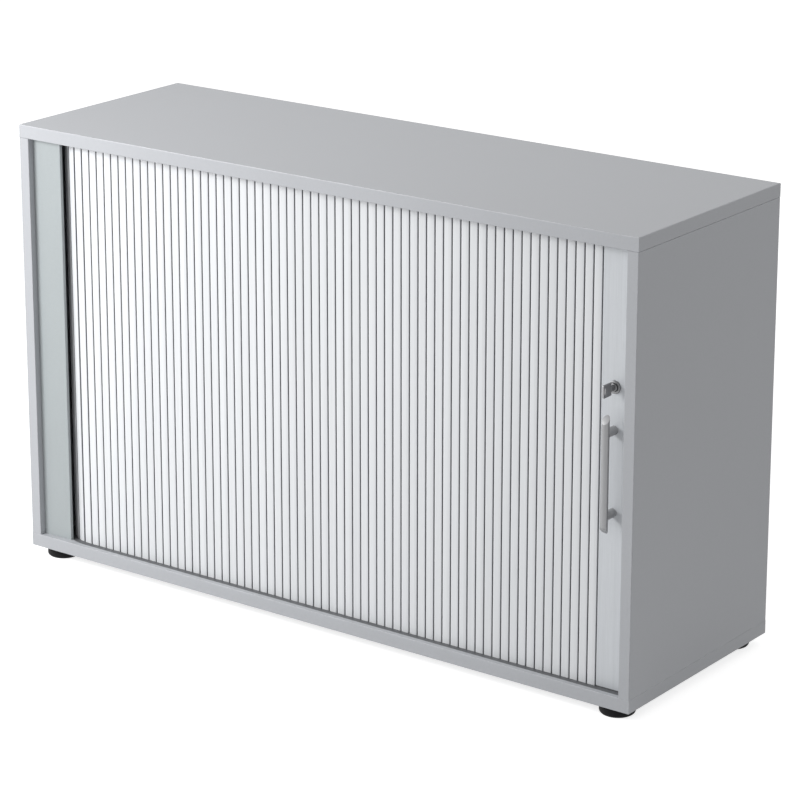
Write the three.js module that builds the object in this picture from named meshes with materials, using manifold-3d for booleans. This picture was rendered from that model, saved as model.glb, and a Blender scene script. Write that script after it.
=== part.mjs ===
// Office cupboard with a sideways tambour door, two file heights tall.
// Millimetres, +Z up, the front looks along -Y.
// Case coordinates: x from the left outer face, y from the front edge, z from the underside.
import * as THREE from "three";
import { mergeVertices } from "three/addons/utils/BufferGeometryUtils.js";
import Module from "manifold-3d";

const wasm = await Module();
wasm.setup();

// Case boards
const caseWidth = 1200;
const caseDepth = 400;
const caseHeight = 733;
const plateThickness = 22;
const sideThickness = 19;
const arrisRadius = 1;
const boardGap = 0.1;
const backThickness = 8;
const backRebate = 9;
const innerBackThickness = 5;
const innerBackTongue = 5;
const innerSideThickness = 16;
const innerSideOffset = 5;
const innerSideLead = 15;
const innerSideTrail = 11;
const innerBackLap = 4;
const fitGap = 0.3;

// Cover strip beside the opening
const stripWidth = 59;
const stripThickness = 6;
const stripSetback = 11.3;

// Path of the curtain: the outer face of the slats
const curtainSetback = 20;
const sideRunGap = 23;
const backRunGap = 12;
const frontBend = 70;
const rearBend = 50;

// Slats
const slatPitch = 15.78;
const slatDepth = 8;
const slatGroove = 2;
const slatCorner = 1.5;
const slatCrown = 0.3;
const slatBackChamfer = 0.8;
const webThickness = 1.2;
const webInset = 0.5;
const slatTopEngagement = 5;
const tailSlats = 7;
const curtainSections = 5;

// Tracks let into the top and bottom panels
const trackOuterFlange = 11;
const trackInnerFlange = 8;
const trackFlangeThickness = 1.6;
const trackWall = 1.5;
const trackDepth = 9;
const trackFloor = 1.2;
const trackPlay = 0.5;
const trackStop = 4;
const stopGap = 3;
const slideGap = 0.3;

// Leading rail and its glides
const railWidth = 51.6;
const railDepth = 18;
const railWall = 1.8;
const railLip = 8;
const railSideGap = 1;
const railEndGap = 1;
const railOpenGap = 2;
const glideThickness = 7;
const glidePlug = 12;
const glideInset = 2;

// Handle
const fittingInset = 28;
const handleSpacing = 128;
const handleOverhang = 27.5;
const handleDiameter = 12;
const handleStandoff = 23;
const postDiameter = 14;
const postBed = 2;
const saddleGap = 0.15;
const handleScrewDiameter = 4;
const handleScrewLength = 11;
const handleScrewHead = 8;
const handleScrewHeadHeight = 2.5;
const screwPlay = 0.2;
const contactGap = 0.1;

// Lock
const lockRise = 130;
const flangeDiameter = 20;
const flangeThickness = 2.5;
const barrelDiameter = 16;
const barrelLength = 13;
const barrelPlay = 0.3;
const nutSize = 22;
const nutThickness = 3;
const plugDiameter = 12;
const plugProud = 2;
const plugTail = 7;
const hookThickness = 2.5;
const hookBite = 7;
const hookWidth = 8;
const barbRise = 4.5;
const barbLength = 5;
const hookEye = 7;
const hookScrewHead = 8;
const hookScrewHeadHeight = 1.8;
const hookScrewDiameter = 3;
const hookScrewLength = 6;
const keywayWidth = 2.5;
const keywayHeight = 9.4;
const keyThickness = 2;
const keyHeight = 8.8;
const keyBlade = 13;
const keyNeck = 6.2;
const bowLength = 21;
const bowHeight = 20;
const bowThickness = 2.6;
const bowCorner = 2;
const keyCutDepths = [1.6, 2.6, 1, 2.1];
const keyCutPitch = 2;
const keyCutStart = 2.5;

// Strike plate in the right side panel
const strikeLength = 66;
const strikeWidth = 16;
const strikeThickness = 1.5;
const strikeSlotWidth = 5;
const strikeSlotDrop = 27;
const strikeSlotRise = 5;
const strikePocketRise = 10;
const strikePocketDepth = 9;
const strikeScrewInset = 7;
const strikeScrewDiameter = 3;
const strikeScrewHead = 6;
const strikeScrewLength = 14;

// Shelf and its pins
const shelfThickness = 22;
const shelfSetback = 45;
const shelfSideGap = 1;
const pinDiameter = 5;
const pinSeat = 8;
const pinCollar = 7;
const pinReach = 7;
const pinHoleDepth = 9;
const pinHolePitch = 32;
const pinHoleCount = 7;
const pinHoleInset = 37;

// Dowels between the side panels and the plates
const dowelDiameter = 8;
const dowelInPlate = 13;
const dowelInSide = 17;
const dowelFrontInset = 75;
const dowelRearInset = 60;

// Feet
const footHeight = 17;
const footDiameter = 56;
const footWaist = 51;
const footRim = 3;
const footInsetX = 41;
const footInsetY = 34;
const stemDiameter = 8;
const stemEngagement = 11;
const stemInBase = 11;
const stemCollar = 14;
const stemCollarHeight = 3;
const insertDiameter = 12;
const insertFlange = 18;
const insertFlangeThickness = 1;
const insertHeight = 12;
const threadGap = 0.2;

// Curve steps
const bendSteps = 10;
const smallArcSteps = 2;
const roundSteps = 20;
const smallRoundSteps = 8;
const hexSides = 6;
const cutOverrun = 1;
const weldDistance = 1e-4;

// Places that follow from the sizes above
const floorZ = plateThickness;
const ceilingZ = caseHeight - plateThickness;
const leftX = sideThickness;
const rightX = caseWidth - sideThickness;
const sideRunX = leftX + sideRunGap;
const backPanelY = caseDepth - backThickness;
const backRunY = backPanelY - backRunGap;
const frontBendX = sideRunX + frontBend;
const frontBendY = curtainSetback + frontBend;
const rearBendX = sideRunX + rearBend;
const rearBendY = backRunY - rearBend;
const webDepth = slatDepth - webInset - webThickness / 2;

const railRightX = rightX - railSideGap;
const railLeftX = railRightX - railWidth;
const railFrontY = curtainSetback;
const railBackY = railFrontY + railDepth;
const railBottomZ = floorZ + railEndGap;
const railTopZ = ceilingZ - railEndGap;
const curtainEndX = railLeftX - slatGroove / 2;
const frontSlats = Math.ceil((curtainEndX - frontBendX) / slatPitch);

const grooveDepth = trackDepth - trackFloor;
const slatBottomZ = floorZ - grooveDepth + slideGap;
const slatTopZ = ceilingZ + slatTopEngagement;
const flangeInnerOffset = slatDepth + trackInnerFlange;
const curtainLength = (frontSlats + tailSlats) * slatPitch;
const frontArc = (frontBend - webDepth) * Math.PI / 2;
const rearArc = (rearBend - webDepth) * Math.PI / 2;
const openTail = curtainLength - railOpenGap - frontArc - (rearBendY - frontBendY) - rearArc;
const trackFrontX = rightX - fitGap;
const grooveRearX = rearBendX + openTail + stopGap;
const trackRearX = grooveRearX + trackStop;

const innerSideX = sideRunX + flangeInnerOffset + innerSideOffset;
const innerSideFaceX = innerSideX + innerSideThickness;
const innerSideFrontY = frontBendY - innerSideLead;
const innerSideRearY = rearBendY + innerSideTrail;
const innerBackY = innerSideRearY + boardGap;

const fittingX = railRightX - fittingInset;
const hookReach = fittingInset + railSideGap + hookBite;
const handleLength = handleSpacing + handleOverhang * 2;
const handleZ = caseHeight / 2;
const lockZ = handleZ + lockRise;
const barY = railFrontY - handleStandoff;
const barFrontY = barY - handleDiameter / 2;

const flangeFrontY = railFrontY - contactGap - flangeThickness;
const plugFrontY = flangeFrontY - plugProud;
const barrelRearY = flangeFrontY + flangeThickness + barrelLength;
const hookFrontY = barrelRearY + fitGap;
const hookRearY = hookFrontY + hookThickness;
const bowRearY = plugFrontY - keyNeck;
const keyFrontY = bowRearY - bowLength;

const shelfZ = (floorZ + ceilingZ - shelfThickness) / 2;
const pinZ = shelfZ - contactGap - pinCollar / 2;
const shelfRearY = innerBackY - shelfSideGap;
const pinFrontY = innerSideFrontY + pinHoleInset;
const pinRearY = innerSideRearY - pinHoleInset;

const footPlaces = {
  front_left: [footInsetX, footInsetY],
  front_right: [caseWidth - footInsetX, footInsetY],
  rear_left: [footInsetX, caseDepth - footInsetY],
  rear_right: [caseWidth - footInsetX, caseDepth - footInsetY],
};
const dowelPlaces = {
  front_left: [sideThickness / 2, dowelFrontInset],
  front_right: [caseWidth - sideThickness / 2, dowelFrontInset],
  rear_left: [sideThickness / 2, caseDepth - dowelRearInset],
  rear_right: [caseWidth - sideThickness / 2, caseDepth - dowelRearInset],
};

// Finishes
function finish(color, roughness, metalness) {
  return new THREE.MeshStandardMaterial({ color, roughness, metalness });
}
const finishes = {
  board: finish(0xb9babc, 0.55, 0.15),
  strip: finish(0xb4b9bb, 0.5, 0.15),
  backBoard: finish(0xc4c5c6, 0.7, 0),
  slat: finish(0xdcdddf, 0.4, 0.1),
  track: finish(0x4c4e52, 0.6, 0),
  rail: finish(0xb2b4b8, 0.35, 0.8),
  handle: finish(0x9a9c9f, 0.3, 0.9),
  lock: finish(0x77787c, 0.3, 0.9),
  key: finish(0x5c5d61, 0.4, 0.7),
  steel: finish(0xa8a9ab, 0.35, 0.9),
  blackPlastic: finish(0x1b1b1d, 0.5, 0),
  dowel: finish(0xc9a26b, 0.8, 0),
};

// A closed three.js geometry as a solid that can be cut and joined.
function solid(geometry) {
  const bare = geometry.clone();
  bare.deleteAttribute("normal");
  bare.deleteAttribute("uv");
  const merged = mergeVertices(bare, weldDistance);
  return new wasm.Manifold(
    new wasm.Mesh({
      numProp: 3,
      vertProperties: merged.attributes.position.array,
      triVerts: new Uint32Array(merged.index.array),
    }),
  );
}

// A cut solid as a three.js geometry again.
function geometryOf(shape) {
  const mesh = shape.getMesh();
  const geometry = new THREE.BufferGeometry();
  geometry.setAttribute("position", new THREE.BufferAttribute(mesh.vertProperties, mesh.numProp));
  geometry.setIndex(new THREE.BufferAttribute(mesh.triVerts, 1));
  geometry.computeVertexNormals();
  return geometry;
}

// A solid with others taken out of it.
function cut(shape, ...tools) {
  return tools.reduce((rest, tool) => rest.subtract(tool), shape);
}

// Several solids joined to one.
function join(first, ...others) {
  return others.reduce((whole, part) => whole.add(part), first);
}

// A box between two corners.
function box([x0, y0, z0], [x1, y1, z1]) {
  const geometry = new THREE.BoxGeometry(x1 - x0, y1 - y0, z1 - z0);
  return solid(geometry.translate((x0 + x1) / 2, (y0 + y1) / 2, (z0 + z1) / 2));
}

// A plan outline raised from z0 to z1.
function prism(outline, z0, z1, curveSegments = smallArcSteps) {
  const geometry = new THREE.ExtrudeGeometry(outline, {
    depth: z1 - z0,
    bevelEnabled: false,
    curveSegments,
  });
  return solid(geometry.translate(0, 0, z0));
}

// An outline drawn in x and z, run along y from y0 to y1.
function frontPrism(outline, y0, y1, curveSegments = smallArcSteps) {
  const geometry = new THREE.ExtrudeGeometry(outline, {
    depth: y1 - y0,
    bevelEnabled: false,
    curveSegments,
  });
  return solid(geometry.rotateX(Math.PI / 2).translate(0, y1, 0));
}

// An outline drawn in y and z, run along x from x0 to x1.
function sidePrism(outline, x0, x1, curveSegments = smallArcSteps) {
  const geometry = new THREE.ExtrudeGeometry(outline, {
    depth: x1 - x0,
    bevelEnabled: false,
    curveSegments,
  });
  const turned = geometry.rotateX(Math.PI / 2).rotateZ(Math.PI / 2);
  return solid(turned.translate(x0, 0, 0));
}

// Round bars along each axis: start point, diameter and length.
function uprightRod([x, y, z], diameter, length, steps = smallRoundSteps) {
  const radius = diameter / 2;
  const geometry = new THREE.CylinderGeometry(radius, radius, length, steps);
  return solid(geometry.rotateX(Math.PI / 2).translate(x, y, z + length / 2));
}
function frontRod([x, y, z], diameter, length, steps = smallRoundSteps) {
  const radius = diameter / 2;
  const geometry = new THREE.CylinderGeometry(radius, radius, length, steps);
  return solid(geometry.translate(x, y + length / 2, z));
}
function crossRod([x, y, z], diameter, length, steps = smallRoundSteps) {
  const radius = diameter / 2;
  const geometry = new THREE.CylinderGeometry(radius, radius, length, steps);
  return solid(geometry.rotateZ(Math.PI / 2).translate(x + length / 2, y, z));
}

// A rectangle whose corners are rounded by r.
function roundedRectangle(x0, y0, x1, y1, r) {
  const outline = new THREE.Shape();
  outline.absarc(x1 - r, y0 + r, r, -Math.PI / 2, 0, false);
  outline.absarc(x1 - r, y1 - r, r, 0, Math.PI / 2, false);
  outline.absarc(x0 + r, y1 - r, r, Math.PI / 2, Math.PI, false);
  outline.absarc(x0 + r, y0 + r, r, Math.PI, Math.PI * 1.5, false);
  return outline;
}

const cabinet = new THREE.Group();
const frontReach = Math.max(-keyFrontY, -barFrontY);
cabinet.position.set(-caseWidth / 2, (frontReach - caseDepth) / 2, footHeight);

// Puts one finished solid into the cabinet as a named mesh.
function place(name, shape, material, group = cabinet) {
  const mesh = new THREE.Mesh(geometryOf(shape), material);
  mesh.name = name;
  group.add(mesh);
}

// Plan outline of a band that follows the curtain's path, between two depths behind its outer face.
function pathBand(outer, inner, frontX, rearX) {
  const band = new THREE.Shape();
  band.moveTo(frontX, curtainSetback + inner);
  band.lineTo(frontX, curtainSetback + outer);
  band.absarc(frontBendX, frontBendY, frontBend - outer, -Math.PI / 2, -Math.PI, true);
  band.absarc(rearBendX, rearBendY, rearBend - outer, Math.PI, Math.PI / 2, true);
  band.lineTo(rearX, backRunY - outer);
  band.lineTo(rearX, backRunY - inner);
  band.absarc(rearBendX, rearBendY, rearBend - inner, Math.PI / 2, Math.PI, false);
  band.absarc(frontBendX, frontBendY, frontBend - inner, Math.PI, Math.PI * 1.5, false);
  return band;
}

// The stepped recess for a track: into is -1 for the bottom panel and 1 for the top panel.
function trackRecess(faceZ, into) {
  const wallOffset = trackPlay + trackWall + fitGap;
  const rearX = trackRearX + fitGap;
  const flange = pathBand(
    -trackOuterFlange - fitGap, flangeInnerOffset + fitGap, rightX, rearX,
  );
  const channel = pathBand(-wallOffset, slatDepth + wallOffset, rightX, rearX);
  const flangeZ = faceZ + into * (trackFlangeThickness + fitGap * 2);
  const channelZ = faceZ + into * (trackDepth + fitGap * 2);
  const openZ = faceZ - into * cutOverrun;
  return join(
    prism(flange, Math.min(openZ, flangeZ), Math.max(openZ, flangeZ), bendSteps),
    prism(channel, Math.min(openZ, channelZ), Math.max(openZ, channelZ), bendSteps),
  );
}

// A track: a flanged channel, closed at its rear end, where the last slat stops.
function track(faceZ, into) {
  const topZ = faceZ + into * fitGap;
  const flangeZ = topZ + into * trackFlangeThickness;
  const baseZ = faceZ + into * trackDepth;
  const grooveZ = faceZ + into * grooveDepth;
  const openZ = faceZ - into * cutOverrun;
  const wallOffset = trackPlay + trackWall;
  const flange = pathBand(-trackOuterFlange, flangeInnerOffset, trackFrontX, trackRearX);
  const channel = pathBand(-wallOffset, slatDepth + wallOffset, trackFrontX, trackRearX);
  const groove = pathBand(
    -trackPlay, slatDepth + trackPlay, trackFrontX + cutOverrun, grooveRearX,
  );
  const body = join(
    prism(flange, Math.min(topZ, flangeZ), Math.max(topZ, flangeZ), bendSteps),
    prism(channel, Math.min(topZ, baseZ), Math.max(topZ, baseZ), bendSteps),
  );
  return cut(body, prism(groove, Math.min(openZ, grooveZ), Math.max(openZ, grooveZ), bendSteps));
}

// A top or bottom panel: all its long arrises are rounded by the edging.
function plate(z0, z1) {
  const outline = new THREE.Shape();
  outline.moveTo(0, 0);
  outline.lineTo(caseWidth, 0);
  outline.lineTo(caseWidth, caseDepth);
  outline.lineTo(0, caseDepth);
  const geometry = new THREE.ExtrudeGeometry(outline, {
    depth: z1 - z0 - arrisRadius * 2,
    bevelThickness: arrisRadius,
    bevelSize: arrisRadius,
    bevelOffset: -arrisRadius,
    bevelSegments: smallArcSteps,
  });
  return solid(geometry.translate(0, 0, z0 + arrisRadius));
}

// The rebate for the outer back and the groove for the inner back in a top or bottom panel.
function backSeats(faceZ, into) {
  const rebateZ = faceZ + into * backRebate;
  const grooveZ = faceZ + into * innerBackTongue;
  const openZ = faceZ - into * cutOverrun;
  return join(
    box(
      [sideThickness - backRebate, backPanelY - fitGap, Math.min(openZ, rebateZ)],
      [rightX + backRebate, caseDepth + cutOverrun, Math.max(openZ, rebateZ)],
    ),
    box(
      [innerSideX, innerBackY - fitGap, Math.min(openZ, grooveZ)],
      [
        rightX + innerBackTongue,
        innerBackY + innerBackThickness + fitGap,
        Math.max(openZ, grooveZ),
      ],
    ),
  );
}

function dowelHoles(z0, z1) {
  return Object.values(dowelPlaces).map(([x, y]) =>
    uprightRod([x, y, z0], dowelDiameter + fitGap * 2, z1 - z0),
  );
}

function bottomPanel() {
  const inserts = Object.values(footPlaces).map(([x, y]) =>
    join(
      uprightRod(
        [x, y, -cutOverrun], insertDiameter + fitGap * 2, insertHeight + cutOverrun + fitGap,
      ),
      uprightRod(
        [x, y, -cutOverrun], insertFlange + fitGap * 2,
        insertFlangeThickness + cutOverrun + fitGap * 2,
      ),
    ),
  );
  return cut(
    plate(0, floorZ),
    trackRecess(floorZ, -1),
    backSeats(floorZ, -1),
    ...inserts,
    ...dowelHoles(floorZ - dowelInPlate - fitGap, floorZ + cutOverrun),
  );
}

function topPanel() {
  return cut(
    plate(ceilingZ, caseHeight),
    trackRecess(ceilingZ, 1),
    backSeats(ceilingZ, 1),
    ...dowelHoles(ceilingZ - cutOverrun, ceilingZ + dowelInPlate + fitGap),
  );
}

// A side panel; innerX is the face that looks into the case and into points into the board.
function sidePanel(x0, x1, innerX, into) {
  const outline = roundedRectangle(x0, 0, x1, caseDepth, arrisRadius);
  const rebateX = innerX + into * backRebate;
  const openX = innerX - into * cutOverrun;
  const z0 = floorZ + boardGap;
  const z1 = ceilingZ - boardGap;
  const rebate = box(
    [Math.min(openX, rebateX), backPanelY - fitGap, z0 - cutOverrun],
    [Math.max(openX, rebateX), caseDepth + cutOverrun, z1 + cutOverrun],
  );
  const drop = dowelInSide + fitGap;
  return cut(
    prism(outline, z0, z1),
    rebate,
    ...dowelHoles(z0 - cutOverrun, floorZ + drop),
    ...dowelHoles(ceilingZ - drop, z1 + cutOverrun),
  );
}

// Two columns of blind holes for shelf pins, drilled from a face into a panel.
function pinHoles(faceX, into) {
  const startX = into > 0 ? faceX - cutOverrun : faceX - pinHoleDepth;
  const middle = (pinHoleCount - 1) / 2;
  return Array.from({ length: pinHoleCount }, (_, i) => pinZ + (i - middle) * pinHolePitch)
    .flatMap((z) => [pinFrontY, pinRearY].map((y) =>
      crossRod([startX, y, z], pinDiameter + fitGap * 2, pinHoleDepth + cutOverrun),
    ));
}

function rightSidePanel() {
  const [plateFrontY, plateRearY] = strikeEdges();
  const slotY = (hookFrontY + hookRearY) / 2;
  const recess = box(
    [rightX - cutOverrun, plateFrontY - fitGap, strikeMiddleZ() - strikeLength / 2 - fitGap],
    [
      rightX + strikeThickness + fitGap,
      plateRearY + fitGap,
      strikeMiddleZ() + strikeLength / 2 + fitGap,
    ],
  );
  const pocket = box(
    [rightX, slotY - strikeSlotWidth / 2, lockZ - strikeSlotDrop],
    [
      rightX + strikeThickness + strikePocketDepth,
      slotY + strikeSlotWidth / 2,
      lockZ + strikePocketRise,
    ],
  );
  const screwHoles = strikeScrewHeights().map((z) =>
    crossRod([rightX, slotY, z], strikeScrewDiameter + fitGap * 2, strikeScrewLength + fitGap),
  );
  const groove = box(
    [rightX - cutOverrun, innerBackY - fitGap, floorZ],
    [
      rightX + innerBackTongue,
      innerBackY + innerBackThickness + fitGap,
      ceilingZ,
    ],
  );
  return cut(
    sidePanel(rightX, caseWidth, rightX, 1),
    recess, pocket, groove, ...screwHoles, ...pinHoles(rightX, 1),
  );
}

function outerBack() {
  return box(
    [leftX - backRebate + fitGap, backPanelY, floorZ - backRebate + fitGap],
    [rightX + backRebate - fitGap, caseDepth, ceilingZ + backRebate - fitGap],
  );
}

function innerBack() {
  return box(
    [innerSideX + innerBackLap, innerBackY, floorZ - innerBackTongue + fitGap],
    [
      rightX + innerBackTongue - fitGap,
      innerBackY + innerBackThickness,
      ceilingZ + innerBackTongue - fitGap,
    ],
  );
}

function innerSide() {
  const panel = box(
    [innerSideX, innerSideFrontY, floorZ + boardGap],
    [innerSideFaceX, innerSideRearY, ceilingZ - boardGap],
  );
  return cut(panel, ...pinHoles(innerSideFaceX, -1));
}

function coverStrip() {
  const outline = roundedRectangle(
    leftX + boardGap, stripSetback, leftX + stripWidth, stripSetback + stripThickness,
    arrisRadius / 2,
  );
  return prism(outline, floorZ + boardGap, ceilingZ - boardGap);
}

// Where slat number i sits: a point on the curtain's outer face, and the way towards the rail.
function slatPlace(i) {
  const run = (i + 0.5) * slatPitch;
  const straight = curtainEndX - frontBendX;
  if (run <= straight) {
    return { x: curtainEndX - run, y: curtainSetback, turn: 0 };
  }
  const turn = (run - straight) / (frontBend - webDepth);
  if (turn <= Math.PI / 2) {
    return {
      x: frontBendX - frontBend * Math.sin(turn),
      y: frontBendY - frontBend * Math.cos(turn),
      turn,
    };
  }
  return { x: sideRunX, y: frontBendY + run - straight - frontArc, turn: Math.PI / 2 };
}

// Outline points of the slats first to last, joined by their webs; a hook reaches to the next piece.
function slatOutline(first, last) {
  const half = (slatPitch - slatGroove) / 2;
  const webFront = webDepth - webThickness / 2;
  const webRear = webDepth + webThickness / 2;
  const cornerTurn = Math.PI / 2 / smallArcSteps;
  const cornerArc = Array.from({ length: smallArcSteps + 1 }, (_, i) => [
    half - slatCorner + slatCorner * Math.cos(i * cornerTurn),
    slatCrown + slatCorner - slatCorner * Math.sin(i * cornerTurn),
  ]);
  const rightFront = [[half, webFront], ...cornerArc, [0, 0]];
  const leftFront = cornerArc.map(([a, v]) => [-a, v]).reverse();
  const front = [...rightFront, ...leftFront, [-half, webFront]];
  const back = [
    [-half, webRear],
    [-half + slatBackChamfer, slatDepth],
    [half - slatBackChamfer, slatDepth],
    [half, webRear],
  ];
  const hook = half + slatGroove - fitGap;
  const frontPoints = [at(first, [hook, webFront])];
  const backPoints = [at(first, [hook, webRear])];
  for (let i = first; i <= last; i += 1) {
    frontPoints.push(...front.map((point) => at(i, point)));
    backPoints.unshift(...back.map((point) => at(i, point)));
  }
  return new THREE.Shape([...frontPoints, ...backPoints].reverse());
}

// A point of slat i, given along the slat's width and behind its outer face, in plan.
function at(i, [along, behind]) {
  const { x, y, turn } = slatPlace(i);
  return new THREE.Vector2(
    x + along * Math.cos(turn) + behind * Math.sin(turn),
    y - along * Math.sin(turn) + behind * Math.cos(turn),
  );
}

function curtain() {
  for (let s = 0; s < curtainSections; s += 1) {
    const first = Math.round((s * frontSlats) / curtainSections);
    const last = Math.round(((s + 1) * frontSlats) / curtainSections) - 1;
    const section = prism(slatOutline(first, last), slatBottomZ, slatTopZ);
    place("curtain_section_" + (s + 1), section, finishes.slat);
  }
  const tail = prism(
    slatOutline(frontSlats, frontSlats + tailSlats - 1), slatBottomZ, slatTopZ,
  );
  place("curtain_tail", tail, finishes.slat);
}

// The leading rail: a channel open at the back, drilled for the lock and the handle.
function leadingRail() {
  const outer = roundedRectangle(railLeftX, railFrontY, railRightX, railBackY, arrisRadius);
  const hollow = box(
    [railLeftX + railWall, railFrontY + railWall, railBottomZ - cutOverrun],
    [railRightX - railWall, railBackY - railWall, railTopZ + cutOverrun],
  );
  const mouth = box(
    [railLeftX + railLip, railBackY - railWall - cutOverrun, railBottomZ - cutOverrun],
    [railRightX - railLip, railBackY + cutOverrun, railTopZ + cutOverrun],
  );
  const lockHole = frontRod(
    [fittingX, railFrontY - cutOverrun, lockZ], barrelDiameter + barrelPlay * 2,
    railWall + cutOverrun * 2, roundSteps,
  );
  const screwHoles = postHeights().map((z) =>
    frontRod(
      [fittingX, railFrontY - cutOverrun, z], handleScrewDiameter + screwPlay * 2,
      railWall + cutOverrun * 2,
    ),
  );
  const hookSlot = box(
    [railRightX - railWall - cutOverrun, hookFrontY - fitGap * 2, lockZ - strikeSlotDrop],
    [railRightX + cutOverrun, hookRearY + fitGap * 2, lockZ + strikeSlotRise],
  );
  return cut(
    prism(outer, railBottomZ, railTopZ), hollow, mouth, lockHole, hookSlot, ...screwHoles,
  );
}

// A glide: a plug in the rail's end and a tongue that runs in the track.
function railGlide(into) {
  const grooveZ = into < 0 ? slatBottomZ : slatTopZ;
  const endZ = into < 0 ? railBottomZ : railTopZ;
  const neckZ = endZ + into * contactGap;
  const plugZ = endZ - into * glidePlug;
  const inner = railWall + fitGap;
  const plug = roundedRectangle(
    railLeftX + inner, railFrontY + inner, railRightX - inner, railBackY - inner, arrisRadius / 2,
  );
  const tongueY = railFrontY + (slatDepth - glideThickness) / 2;
  const tongue = roundedRectangle(
    railLeftX + glideInset, tongueY, railRightX - glideInset, tongueY + glideThickness,
    arrisRadius,
  );
  return join(
    prism(tongue, Math.min(grooveZ, neckZ), Math.max(grooveZ, neckZ)),
    prism(plug, Math.min(neckZ, plugZ), Math.max(neckZ, plugZ)),
  );
}

function postHeights() {
  return [handleZ + handleSpacing / 2, handleZ - handleSpacing / 2];
}

// The bar's ends are cut at 45 degrees, longer at the back.
function handleBar() {
  const radius = handleDiameter / 2;
  const half = handleLength / 2;
  const bar = uprightRod([fittingX, barY, handleZ - half], handleDiameter, handleLength, roundSteps);
  const profile = new THREE.Shape();
  profile.moveTo(barY + radius + cutOverrun, handleZ - half - cutOverrun);
  profile.lineTo(barY + radius + cutOverrun, handleZ + half + cutOverrun);
  profile.lineTo(barY - radius - cutOverrun, handleZ + half - handleDiameter - cutOverrun);
  profile.lineTo(barY - radius - cutOverrun, handleZ - half + handleDiameter + cutOverrun);
  return bar.intersect(
    sidePrism(profile, fittingX - handleDiameter, fittingX + handleDiameter),
  );
}

function handlePost(z) {
  const rearY = railFrontY - contactGap;
  const frontY = barY + postBed;
  const post = frontRod([fittingX, frontY, z], postDiameter, rearY - frontY, roundSteps);
  const saddle = uprightRod(
    [fittingX, barY, z - postDiameter], handleDiameter + saddleGap * 2, postDiameter * 2,
    roundSteps,
  );
  const boreStart = railFrontY + railWall - handleScrewLength;
  const bore = frontRod(
    [fittingX, boreStart, z], handleScrewDiameter + screwPlay * 2,
    rearY - boreStart + cutOverrun,
  );
  return cut(post, saddle, bore);
}

function handleScrew(z) {
  const headY = railFrontY + railWall + contactGap;
  const shankY = headY - handleScrewLength + screwPlay;
  return join(
    frontRod([fittingX, shankY, z], handleScrewDiameter, headY - shankY + contactGap),
    frontRod([fittingX, headY, z], handleScrewHead, handleScrewHeadHeight),
  );
}

function lockBarrel() {
  const bore = plugDiameter + barrelPlay * 2;
  const length = barrelRearY - flangeFrontY;
  return cut(
    join(
      frontRod([fittingX, flangeFrontY, lockZ], flangeDiameter, flangeThickness, roundSteps),
      frontRod([fittingX, flangeFrontY, lockZ], barrelDiameter, length, roundSteps),
    ),
    frontRod(
      [fittingX, flangeFrontY - cutOverrun, lockZ], bore, length + cutOverrun * 2, roundSteps,
    ),
  );
}

function lockNut() {
  const nutY = railFrontY + railWall + contactGap;
  const cornerDiameter = nutSize / Math.cos(Math.PI / hexSides);
  return cut(
    frontRod([fittingX, nutY, lockZ], cornerDiameter, nutThickness, hexSides),
    frontRod(
      [fittingX, nutY - cutOverrun, lockZ], barrelDiameter + barrelPlay * 2,
      nutThickness + cutOverrun * 2, roundSteps,
    ),
  );
}

// The plug: a round core with a keyway in front and a square tail for the hook.
function lockPlug() {
  const halfTail = plugTail / 2;
  const core = frontRod(
    [fittingX, plugFrontY, lockZ], plugDiameter, barrelRearY - plugFrontY, roundSteps,
  );
  const tail = box(
    [fittingX - halfTail, barrelRearY - cutOverrun, lockZ - halfTail],
    [fittingX + halfTail, hookRearY - fitGap, lockZ + halfTail],
  );
  const keyway = box(
    [fittingX - keywayWidth / 2, plugFrontY - cutOverrun, lockZ - keywayHeight / 2],
    [fittingX + keywayWidth / 2, plugFrontY + keyBlade + fitGap, lockZ + keywayHeight / 2],
  );
  const screwHole = frontRod(
    [fittingX, hookRearY - hookScrewLength, lockZ], hookScrewDiameter + screwPlay * 2,
    hookScrewLength + cutOverrun,
  );
  return cut(join(core, tail), keyway, screwHole);
}

// The hook bolt hangs from the plug's tail and catches behind the strike plate when turned.
function hookBolt() {
  const half = hookWidth / 2;
  const tip = lockZ - hookReach;
  const arm = new THREE.Shape();
  arm.absarc(fittingX, tip + half, half, Math.PI, Math.PI * 1.5, false);
  arm.lineTo(fittingX + half + barbRise, tip);
  arm.lineTo(fittingX + half + barbRise, tip + barbLength);
  arm.lineTo(fittingX + half, tip + barbLength);
  arm.lineTo(fittingX + half, lockZ);
  arm.absarc(fittingX, lockZ, hookEye, 0, Math.PI, false);
  arm.lineTo(fittingX - half, lockZ);
  const halfEye = plugTail / 2 + fitGap;
  const eye = box(
    [fittingX - halfEye, hookFrontY - cutOverrun, lockZ - halfEye],
    [fittingX + halfEye, hookRearY + cutOverrun, lockZ + halfEye],
  );
  return cut(frontPrism(arm, hookFrontY, hookRearY, smallRoundSteps), eye);
}

function hookScrew() {
  const headY = hookRearY + contactGap;
  const shankY = hookRearY - hookScrewLength + screwPlay;
  return join(
    frontRod([fittingX, headY, lockZ], hookScrewHead, hookScrewHeadHeight),
    frontRod([fittingX, shankY, lockZ], hookScrewDiameter, headY - shankY + contactGap),
  );
}

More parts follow.
